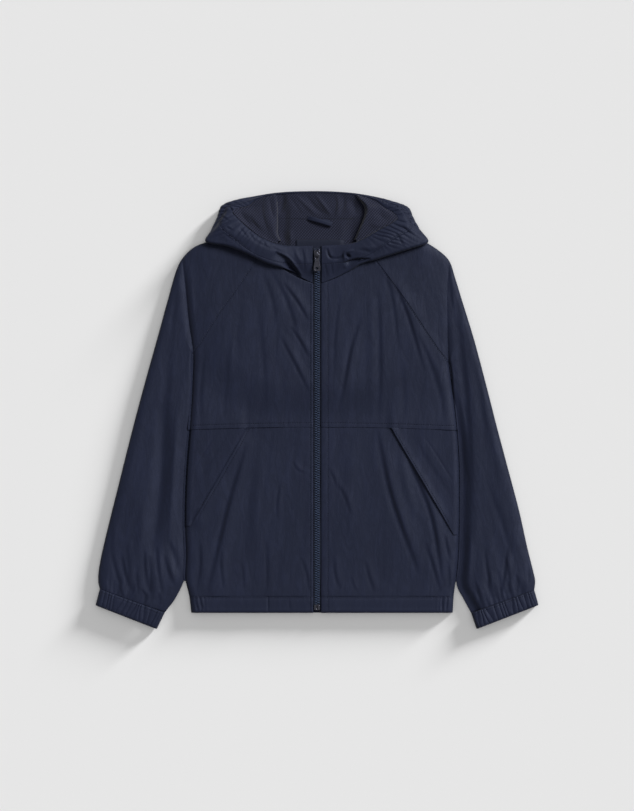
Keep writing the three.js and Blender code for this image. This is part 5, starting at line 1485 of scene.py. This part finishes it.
def makeHoodCasing(name, node, first, last, count, seed):
    points, ways, at, casing, gather, _ = hoodGrid(
        first, last, count, evenSteps(26, 1.3), lambda s, u: blendOf(0, s["casing"] + 0.5, u))
    fromSeam = casing - at
    inMiddle = np.sin(np.pi * np.clip(at / np.maximum(casing, 1), 0.08, 0.97)) ** 0.5
    push = hoodRelief(points) + casingGathers(points, at, gather, seed) * inMiddle
    push += np.clip(gather, 0, 1) * (0.7 * seamShape(fromSeam) - 0.2 * bell(fromSeam - 2.6, 0.9))
    push -= 0.3 * smoothstep(fromSeam, 0.1, -0.4)
    push -= 0.9 * (1 - rounded(at, 2.5))
    points = points + ways * push[..., None]
    addPiece(name, wallOf(points, cloth["casingWall"] - 0.3, -1, wayOut=ways), materials["casing"], node,
             "casing")


liningCreases = table(creaseColumns, [
    [-107, 272, -99, 258, -89, 243, 2.4, 6.5, 0],
    [-30, 291, -16, 277, 1, 261, -1.3, 2.6, 0],
    [-3, 292, 8, 277, 20, 261, -1.7, 2.8, 0],
    [27, 291, 29, 275, 25, 260, -1.6, 2.2, 0],
    [-44, 291, -46, 280, -50, 264, 2.4, 4.0, 0],
    [-58, 290, -56, 276, -55, 256, -1.5, 2.4, 0],
    [-64, 286, -62, 272, -59, 258, 1.2, 1.8, 0],
    [-16, 291, -3, 274, 12, 261, 1.2, 3.0, 0],
    [36, 290, 36, 275, 32, 262, 1.5, 3.0, 0],
    [-38, 289, -28, 275, -20, 262, 0.7, 3.0, 0.4],
    [-75, 279, -72, 259, -65, 238, 1.0, 4.0, 0.5],
    [-92, 262, -84, 250, -74, 240, 0.8, 4.0, 0.5],
    [-84, 262, -78, 250, -68, 236, -0.8, 5.0, 0],
    [68, 268, 84, 273, 104, 259, -1.3, 4.0, 0],
    [76, 262, 84, 262, 96, 252, 1.3, 4.5, 0],
    [70, 252, 82, 248, 92, 248, -0.8, 4.0, 0],
    [47, 286, 51, 272, 52, 262, 1.4, 5.0, 0],
    [51, 256, 47, 243, 43, 230, 1.4, 5.0, 0],
    [34, 256, 33, 244, 30, 232, -1.0, 6.0, 0],
    [-44, 243, -46, 234, -43, 226, 1.6, 3.4, 0],
    [-35, 243, -36, 234, -35, 226, -1.8, 3.0, 0],
])


valleyX = columnReader(*zip(*valleyLine))


def liningBulge(x, y):
    left, right = liningSizes["bulgeLeft"], valleyX(y) - liningSizes["valley"]
    edges = smoothstep(x, left - 5, left + 5) * (1 - smoothstep(x, right - 5, right + 5))
    return liningSizes["bulge"] * edges * (1 - smoothstep(y, 268, 290))


def makeHoodLining(side):
    # from the rim to a ridge, over it, and down on to the lining of the back
    rows = liningFolds[side]
    read = rowReader(rows)
    flat, over = np.linspace(0, 1, 46), np.linspace(0, 1, 22)[1:]
    vs = np.linspace(0, len(rows) - 1, 66)
    row = {name: value[:, None] for name, value in read(vs).items()}
    station = readHood(row["station"])
    ridge = pairs(row["ridgeX"], row["ridgeY"])
    rim = pairs(station["rimX"], station["rimY"])
    gap = np.linalg.norm(rim - ridge, axis=-1, keepdims=True)
    rim = blendOf(rim, ridge, -np.minimum(liningSizes["rim"] / gap, 0.4))
    t = flat[None]
    plan = blendOf(rim, ridge, t[..., None])
    hang = liningSizes["sag"] * np.sin(np.pi * t ** 0.8) * np.minimum(1, gap[..., 0] / 24)
    z = blendOf(station["rim"] - 1.2, row["ridge"], t ** 0.85) - hang
    angle = over[None] * np.pi / 2
    climb = 3.6 * smoothstep(row["ridgeY"], 268, 287)
    beyond = pairs(ridge[..., 0] - sign[side] * row["fall"] * np.sin(angle),
                   ridge[..., 1] + climb * np.sin(angle))
    foot = liningSizes["foot"] + 1.6 * smoothstep(row["ridgeY"], 266, 287)
    drop = row["ridge"] - (row["ridge"] - foot) * (1 - np.cos(angle)) ** 0.8
    plan, z = np.concatenate([plan, beyond], axis=1), np.concatenate([z, drop], axis=1)
    x, y = plan[..., 0], plan[..., 1]
    free = settle(np.arange(x.shape[1]), 10)
    wave = 0.7 * latticeNoise(x + 0.5 * y, y, 16, 28, 231) + 0.3 * latticeNoise(x, y, 6, 9, 233)
    z = z + (wave + 1.5 * creaseRelief(x, y, liningCreases)) * free
    made = wallOf(pack3(plan, z), cloth["liningWall"], -facingOf[side])
    addPiece(f"hoodLining_{side}", made, materials["lining"], f"hood_lining_{side}", "lining")


liningFace = cloth["shellWall"] + 0.1 + cloth["layerGap"] + 1.2


def makeLiningMiddle():
    neckY = sleeves["left"][0]["backY"] - 1.2
    topLeft, topRight = np.array([-62.0, 287.4]), np.array([62.0, 287.4])
    footLeft, footRight = -61.0, 74.0
    us, vs = evenSteps(130, 1.2), evenSteps(32, 1.1)
    plan = patchOf(us, vs,
                   lambda v: blendOf(np.array([footLeft, neckY]), topLeft, v[:, None]),
                   lambda v: blendOf(np.array([footRight, neckY]), topRight, v[:, None]),
                   lambda u: pairs(blendOf(footLeft, footRight, u), np.full_like(u, neckY)),
                   lambda u: blendOf(topLeft, topRight, u[:, None])
                   + pairs(0 * u, 5.2 * np.sin(np.pi * u) ** 0.6))
    x, y = plan[..., 0], plan[..., 1]
    v = vs[:, None] * np.ones(len(us))
    z = blendOf(foldedHood["bed"] + liningFace, hoodStations[14]["rim"] - 0.7, v)
    z += 0.4 * latticeNoise(x, y, 22, 14, 241)
    z += 1.5 * creaseRelief(x, y, liningCreases) - 0.8 * np.sin(np.pi * v)
    z += liningBulge(x, y) + 0.25 - 0.35 * bell(v * 30, 0.9)
    addPiece("hoodLiningMiddle", wallOf(pack3(plan, z), cloth["liningWall"], 1), materials["lining"],
             "hood_lining_middle", "lining")


def makeNeckPanels():
    panels = table(["name", "node", "left", "right", "foot", "top", "lift", "wall", "skin", "slot"], [
        ["backLining", "back_lining", -57, 68, 198, 258.3, liningFace, 1.0, "lining", "lining"],
        ["neckFacing", "neck_facing", -28, 38, 204, 229.5, liningFace + 1.3, 0.9, "facing", "casing"],
    ])
    for panel in panels:
        width, height = panel["right"] - panel["left"], panel["top"] - panel["foot"]
        u, v = np.meshgrid(evenSteps(width, 1.5), evenSteps(height, 1.5))
        x, y = blendOf(panel["left"], panel["right"], u), blendOf(panel["foot"], panel["top"], v)
        z = bed(x, y) + panel["lift"] + 0.3 * latticeNoise(x, y, 20, 16, 251)
        z += liningBulge(x, y)
        if panel["name"] == "backLining":
            z += creaseRelief(x, y, liningCreases)
        z -= 0.9 * bell((1 - v) * height, 0.9)
        addPiece(panel["name"], wallOf(np.stack([x, y, z], -1), panel["wall"], 1), materials[panel["skin"]],
                 panel["node"], panel["slot"])


hangerLoop = {
    "width": 5.6, "wall": 0.7,
    "line": [(-12.5, 258.4, 11.8), (-5, 256.6, 14.6), (7, 253.2, 15.6), (16, 250.4, 15.0),
             (20.5, 249.8, 13.6), (17.5, 251.6, 12.4), (8, 254.6, 12.1)],
}


def makeHangerLoop():
    path = curveThrough(hangerLoop["line"])
    us, vs = np.linspace(0, 1, 70), np.linspace(-0.5, 0.5, 7)
    line = path(us)[None] * np.ones((len(vs), 1, 1))
    line += vs[:, None, None] * hangerLoop["width"] * np.array([0.25, 0.97, 0.0])
    line[..., 2] -= 0.3 * (2 * np.abs(vs[:, None])) ** 4
    addPiece("hangerLoop", wallOf(line, hangerLoop["wall"], 1), materials["casing"], "hanger_loop", "casing")


def makeHoodFolded():
    # the layers of the hood that are folded flat under the back
    f = foldedHood
    layers = [(1.2, 0), (0.2, 0.25), (0, 0.8), (0.5, 1.25), (1.4, 1.6), (0.6, 2.0), (0.6, 2.3), (1.6, 2.7),
              (4, 2.95), (12, f["height"])]
    corners = [(x - sideways * f[size], y - upward * f[size], f[size], start)
               for x, sideways, y, upward, size, start in (
                   (f["right"], 1, f["foot"], -1, "footCorner", -90),
                   (f["right"], 1, f["top"], 1, "topCorner", 0),
                   (f["left"], -1, f["top"], 1, "topCorner", 90),
                   (f["left"], -1, f["foot"], -1, "footCorner", 180))]
    centre = np.array([(f["left"] + f["right"]) / 2, (f["top"] + f["foot"]) / 2])

    def ringOf(inset, z):
        outline = []
        for cx, cy, radius, start in corners:
            angles, arm = np.radians(start + np.linspace(0, 90, 30)), radius - inset
            outline.append(pairs(cx + arm * np.cos(angles), cy + arm * np.sin(angles)))
        outline = np.concatenate(outline)
        return np.column_stack([outline, np.full(len(outline), z)])

    rings = []
    for share in np.linspace(0.02, 0.97, 42):
        ring = ringOf(1.2, 0.0)
        ring[:, :2] = blendOf(centre, ring[:, :2], share)
        x, y = ring[:, 0], ring[:, 1]
        seam = sum(bell(np.abs(x - cx), 1.5) for cx in (-48, 47))
        ring[:, 2] = hollows(x, y, 261) * (1 - share ** 6) + 0.6 * seam * (1 - share ** 20)
        rings.append(ring)
    rings += [ringOf(inset, z) for inset, z in layers]
    for share in np.linspace(0.85, 0.02, 8):
        ring = ringOf(12, f["height"])
        ring[:, :2] = blendOf(centre, ring[:, :2], share)
        rings.append(ring)
    grid = np.array(rings)
    rows, columns = grid.shape[:2]
    index = ringIndex(rows, columns)
    quads = quadsOf(index[:-1, :-1], index[:-1, 1:], index[1:, 1:], index[1:, :-1])
    vertices = np.concatenate([grid.reshape(-1, 3), [[*centre, 0.1], [*centre, f["height"]]]])
    low, high = rows * columns, rows * columns + 1
    fans = [[low, int(index[0, k + 1]), int(index[0, k])] for k in range(columns)]
    fans += [[high, int(index[-1, k]), int(index[-1, k + 1])] for k in range(columns)]
    made = smoothMesh("hoodFolded", vertices, quads.tolist() + fans, materials["shell"])
    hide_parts("hood_folded_under")
    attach(made, "garment")


def makeHood():
    last = len(hoodStations) - 1
    h = hoodSplits
    crown, lap = (h["crownFrom"], h["crownTo"]), 0.01
    makeHoodPanel("hoodSide_left", "hood_side_left", 0, crown[0] + lap, 230, 274)
    makeHoodPanel("hoodCrown", "hood_crown", crown[0] - lap, crown[1] + lap, 60, 284)
    makeHoodPanel("hoodSide_right", "hood_side_right", crown[1] - lap, last, 230, 294)
    makeHoodCasing("hoodCasing_left", "hood_casing_left", 0, h["casingLeft"], 230, 304)
    makeHoodCasing("hoodCasing_right", "hood_casing_right", h["casingRight"], last, 230, 314)
    for side in sides:
        makeHoodLining(side)
    makeLiningMiddle()
    makeNeckPanels()
    makeHangerLoop()
    makeHoodFolded()


makeHood()
print("hood and lining made")

# Zip


def boxMesh(centre, size, top):
    # a small block with its top drawn in
    cx, cy, cz = centre
    sx, sy, sz = (s / 2 for s in size)
    vertices = [(cx + i * sx * draw, cy + j * sy * draw, cz + sz * rise)
                for draw, rise in ((1, -1), (1, 0.3), (top, 1))
                for i, j in ((-1, -1), (1, -1), (1, 1), (-1, 1))]
    faces = [(3, 2, 1, 0), (8, 9, 10, 11)]
    for low in (0, 4):
        faces += [(low + k, low + (k + 1) % 4, low + 4 + (k + 1) % 4, low + 4 + k) for k in range(4)]
    return vertices, faces


def joinBlocks(blocks):
    vertices, faces = [], []
    for blockVertices, blockFaces in blocks:
        start = len(vertices)
        vertices += blockVertices
        faces += [tuple(start + k for k in face) for face in blockFaces]
    return vertices, faces


def tapeFace(y):
    return placketHeight(y) - zipSizes["tapeSink"]


def platePiece(name, outlines, thick, soften, z, body, node):
    # a flat plate with rounded edges; outlines after the first are holes
    curve = bpy.data.curves.new(name, "CURVE")
    curve.dimensions, curve.fill_mode = "2D", "BOTH"
    curve.bevel_depth, curve.bevel_resolution = soften * mm, 2
    curve.extrude = (thick / 2 - soften) * mm
    curve.offset = -soften * mm
    for outline in outlines:
        spline = curve.splines.new("POLY")
        spline.points.add(len(outline) - 1)
        for point, (x, y) in zip(spline.points, outline):
            point.co = (x * mm, y * mm, 0, 1)
        spline.use_cyclic_u = True
    drawn = placeObject(name + "Outline", curve)
    mesh = bpy.data.meshes.new_from_object(drawn.evaluated_get(bpy.context.evaluated_depsgraph_get()))
    bpy.data.objects.remove(drawn)
    bpy.data.curves.remove(curve)
    mesh.name = name
    mesh.transform(Matrix.Translation((0, 0, z * mm)))
    mesh.materials.clear()
    mesh.materials.append(materials["metal"])
    made = placeObject(name, mesh)
    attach(made, body)
    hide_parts(node)


def mirrored(half, middle=()):
    # an outline from its right half, begun at its mirrored first point
    left = [(-x, y) for x, y in half]
    return [left[0], *half, *middle, *left[:0:-1]]


def softOutline(points, radius):
    # corners of a polygon rounded by arcs
    points = np.asarray(points, float)
    made = []
    for before, here, after in zip(np.roll(points, 1, axis=0), points, np.roll(points, -1, axis=0)):
        a, b = before - here, after - here
        cut = min(radius, 0.45 * np.linalg.norm(a), 0.45 * np.linalg.norm(b))
        start, end = here + a / np.linalg.norm(a) * cut, here + b / np.linalg.norm(b) * cut
        for t in np.linspace(0, 1, 5):
            made.append(tuple(start * (1 - t) ** 2 + 2 * here * t * (1 - t) + end * t * t))
    return made


pullSizes = {
    "pivot": (209.5, 17.55), "length": 23.0, "topHalf": 3.3, "waist": 2.9, "footHalf": 4.5,
    "plate": 0.9, "rim": 1.5, "eye": 1.9, "eyeLength": 5.6, "hole": 1.9,
}
sliderSizes = {
    "foot": 204.0, "top": 214.8, "noseHalf": 4.4, "tailHalf": 3.1, "plate": 3.5, "seat": 12.65,
    "bridgeHalf": 1.45, "bridgeWall": 0.85,
}


def makeSlider():
    z = sliderSizes
    foot, top, nose, tail, face = z["foot"], z["top"], z["noseHalf"], z["tailHalf"], z["seat"] + z["plate"]
    outline = mirrored([(tail, foot), (tail + 0.5, foot + 2.4), (nose, top - 3), (nose - 0.6, top),
                        (0.9, top)], [(0, top - 1.4)])
    platePiece("zipSliderBody", [softOutline(outline, 1.3)], z["plate"], 0.7, z["seat"] + z["plate"] / 2,
               "garment", "zip_slider")
    y0, z0 = pullSizes["pivot"]
    arch = [(3.5, face - 0.6), (3.1, z0 + 0.6), (1.6, z0 + 2.0), (0, z0 + 2.2)]
    path = curveThrough([(y0 + y, up) for y, up in arch] + [(y0 - y, up) for y, up in arch[2::-1]])
    line = path(np.linspace(0, 1, 30))
    across = np.linspace(-1, 1, 7)
    grid = np.zeros((len(across), len(line), 3))
    grid[..., 0] = (across * z["bridgeHalf"])[:, None]
    grid[..., 1], grid[..., 2] = line[:, 0], line[:, 1] - 0.25 * across[:, None] ** 4
    bridge = meshObject("zipSliderBridge", *wallOf(grid, z["bridgeWall"], -1), materials["metal"])
    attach(bridge, "garment")


def makePull():
    # a waisted plate with a raised rim, an eye round the bridge and a hole near its foot
    p = pullSizes
    y0, z0 = p["pivot"]
    top, foot, eyeFoot = y0 + 0.8, y0 - p["length"], y0 - p["eyeLength"]
    middle = eyeFoot - 3.4

    def shape(inset):
        a, b, c = p["topHalf"] - inset, p["waist"] - inset, p["footHalf"] - inset
        return mirrored([(a - 0.7, top - inset), (a, top - 1 - inset), (a, eyeFoot), (b, middle),
                         (c, foot + 7), (c, foot + 1.2 + inset), (c - 1.2, foot + inset)])

    eye = softOutline(mirrored([(p["eye"], y0 - 0.9), (p["eye"], eyeFoot)]), 0.8)[::-1]
    hole = softOutline(mirrored([(p["hole"], foot + 2.3), (p["hole"], foot + 5.5)]), 0.9)[::-1]
    lower = softOutline(mirrored([(p["waist"] - 1.0, middle - 1), (p["footHalf"] - 1.2, foot + 7),
                                  (p["footHalf"] - 1.2, foot + 1.6)]), 1.0)[::-1]
    platePiece("zipPullPlate", [softOutline(shape(0.3), 1.4), eye, hole], p["plate"], 0.25, z0 - 0.2,
               "pull", "zip_pull")
    platePiece("zipPullRim", [softOutline(shape(0), 1.5), eye, lower], p["rim"], 0.3, z0, "pull", "zip_pull")


def makeZipBox():
    foot = zipSizes["foot"] - 1.4
    outline = softOutline(mirrored([(4.0, foot), (4.0, foot + 6.6), (3.2, foot + 7.4)]), 1.2)
    groove = softOutline(mirrored([(0.5, foot + 1.2), (0.5, foot + 6.2)]), 0.4)[::-1]
    seat = float(tapeFace(np.array(foot))) + 1.6
    platePiece("zipBox", [outline, groove], 2.4, 0.5, seat, "garment", "zip_box")


def makeZip():
    z = zipSizes
    ys = np.linspace(z["foot"], z["top"], 160)
    for side in sides:
        xs = sign[side] * np.linspace(0.3, z["tapeWidth"], 22)
        x, y = np.meshgrid(xs, ys)
        height = tapeFace(y) - z["tapeTuck"] * smoothstep(np.abs(x), 4.4, 5.6)
        height += 0.2 * bell(np.abs(x) - 3.6, 0.5)  # the woven cord beside the teeth
        made = wallOf(pack3(pairs(x, y), height), z["tapeWall"], -facingOf[side])
        addPiece(f"zipTape_{side}", made, materials["tape"], f"zip_tape_{side}", "zip")
    blocks = []
    foot = z["foot"] + 7
    count = int((z["chainTop"] - foot) / z["toothPitch"])
    for k in range(count):
        for row, shift in ((-1, 0.0), (1, 0.5)):
            y = foot + (k + shift) * z["toothPitch"]
            seat = float(tapeFace(np.array(y)))
            blocks.append(boxMesh((row * 1.5, y, seat + 0.65), (3.4, z["toothPitch"] * 0.5, 2.1), 0.4))
    teeth = meshObject("zipTeeth", *joinBlocks(blocks), 0, materials["teeth"])
    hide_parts("zip_chain")
    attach(teeth, "garment")
    makeSlider()
    makePull()
    makeZipBox()


makeZip()
print("zip made")

# Topstitching, dropped on the made panels


def stitchRow(name, target, points):
    # a row of short threads along a plan line, lying on the cloth
    cloths = [bpy.data.objects[each] for each in ([target] if isinstance(target, str) else target)]
    sideCount = 5
    line = curveThrough(points)
    fine = line(np.linspace(0, 1, 400))
    lengths = lengthsAlong(fine)
    rings = ((-0.5, 0.25, -0.35), (-0.3, 0.9, 0.0), (0.3, 0.9, 0.0), (0.5, 0.25, -0.35))  # place, size, sink
    around = np.radians(np.arange(sideCount) * 72 + 18)
    half, radius = stitchLines["length"], stitchLines["radius"]
    vertices, faces = [], []
    for at in np.arange(stitchLines["pitch"] * 0.5, lengths[-1], stitchLines["pitch"]):
        ends = []
        for shift in (-0.45, 0.45):
            x, y = (np.interp(at + shift * half, lengths, fine[:, k]) for k in (0, 1))
            casts = [each.ray_cast((x * mm, y * mm, 0.1), (0, 0, -1)) for each in cloths]
            found = [place.z / mm for hit, place, _, _ in casts if hit]
            if not found:
                break
            ends.append(np.array([x, y, max(found) + radius * 0.45]))
        if len(ends) < 2:
            continue
        middle, along = (ends[0] + ends[1]) / 2, ends[1] - ends[0]
        side = np.cross(along, (0, 0, 1))
        side /= np.linalg.norm(side)
        up = np.cross(side, along / np.linalg.norm(along))
        start = len(vertices)
        for place, size, sink in rings:
            centre = middle + along * place / 0.9 + up * sink * 0.5
            vertices += [centre + radius * size * (np.cos(a) * side + np.sin(a) * up) for a in around]
        for ring in range(len(rings) - 1):
            for k in range(sideCount):
                a, b = (start + ring * sideCount + n % sideCount for n in (k, k + 1))
                faces.append((a, b, b + sideCount, a + sideCount))
        faces.append(tuple(start + k for k in (4, 3, 2, 1, 0)))
        faces.append(tuple(start + 15 + k for k in range(sideCount)))
    made = smoothMesh(name, vertices, faces, materials["thread"])
    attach(made, "garment")
    return len(faces) // 17  # faces of one thread


def makeStitching():
    bpy.context.view_layer.update()
    lines, count = stitchLines, 0
    for side in sides:
        s = sign[side]
        upper, lower = f"shellFrontUpper_{side}", f"shellFrontLower_{side}"
        xs = np.linspace(s * (zipSizes["slotHalf"] + 1), float(sideEdge[side](-16.0)) - s * 2, 14)
        points = [(x, float(yokeSeamY(x)) + lines["yoke"]) for x in xs]
        count += stitchRow(f"yokeStitch_{side}", upper, points)
        x = s * (zipSizes["slotHalf"] + lines["placket"][side])
        for part, target, foot, top in (("hem", f"hemFront_{side}", -272, -251),
                                        ("lower", lower, -249, -23.5), ("upper", upper, -21.5, 171)):
            points = [(x, foot), (x, (foot + top) / 2), (x, top)]
            count += stitchRow(f"placketStitch_{part}_{side}", target, points)
        at = rowReader(sleeves[side])(np.linspace(0.9, 5.9, 16))
        raglan = pairs(at["frontX"], at["frontY"])
        along = np.gradient(raglan, axis=0)
        along /= np.linalg.norm(along, axis=1, keepdims=True)
        into = pairs(along[:, 1], -along[:, 0]) * s
        inner = raglan + into * lines["raglan"] * np.sign((into * [[-s, -1]]).sum(1, keepdims=True))
        count += stitchRow(f"raglanStitch_{side}", upper, [tuple(point) for point in inner])
        flap = pocketFlaps[side]
        vs = np.linspace(0.12, 0.97, 12)
        ys = blendOf(flap["foot"], float(yokeSeamY(flap["topX"])), vs)
        ends = sideEdge[side](ys) - s * (flap["sideGap"] + flap["bluntEnd"])
        target, away = (lower, -lines["mouth"] * 1.17) if side == "left" else (f"shellPocketFlap_{side}", 3.2)
        free = blendOf(ends, flap["topX"], vs) + s * away
        count += stitchRow(f"pocketStitch_{side}", target, list(zip(free, ys)))
        xs = np.linspace(s * (zipSizes["slotHalf"] + 2), float(sideEdge[side](-252.0)) - s * 3, 14)
        count += stitchRow(f"hemStitch_{side}", f"hemFront_{side}", [(x, seams["hem"] - 2.8) for x in xs])
        for end, share in (("Top", 0.12), ("Foot", 0.88)):
            a, b = cuffLine(side, share)
            points = [tuple(blendOf(a, b, t)) for t in np.linspace(0.03, 0.97, 9)]
            count += stitchRow(f"cuffStitch{end}_{side}", f"cuffBand_{side}", points)
        first, last = (4.0, 11.0) if side == "left" else (17.0, 24.4)
        points = []
        for station in np.linspace(first, last, 40):
            h = hoodSection(station)
            place = np.interp(max(h["casing"] - 2.6, 0.8), h["lengths"], h["profile"][:, 0])
            points.append(tuple(h["rim"] + h["outward"] * place))
        count += stitchRow(f"casingStitch_{side}", f"hoodCasing_{side}", points)
    # bar tacks at the top of the pocket openings
    for side in sides:
        x = pocketFlaps[side]["topX"] - sign[side]
        y = float(yokeSeamY(x)) - 1.5
        count += stitchRow(f"barTack_{side}", [f"shellPocketFlap_{side}", f"shellFrontLower_{side}"],
                           [(x - 5, y), (x, y - 1.5), (x + 5, y)])
    print("stitches:", count)


makeStitching()

for each in bpy.data.objects:
    if each.type == "MESH" and each.name != "floor":
        garmentOnly.objects.link(each)
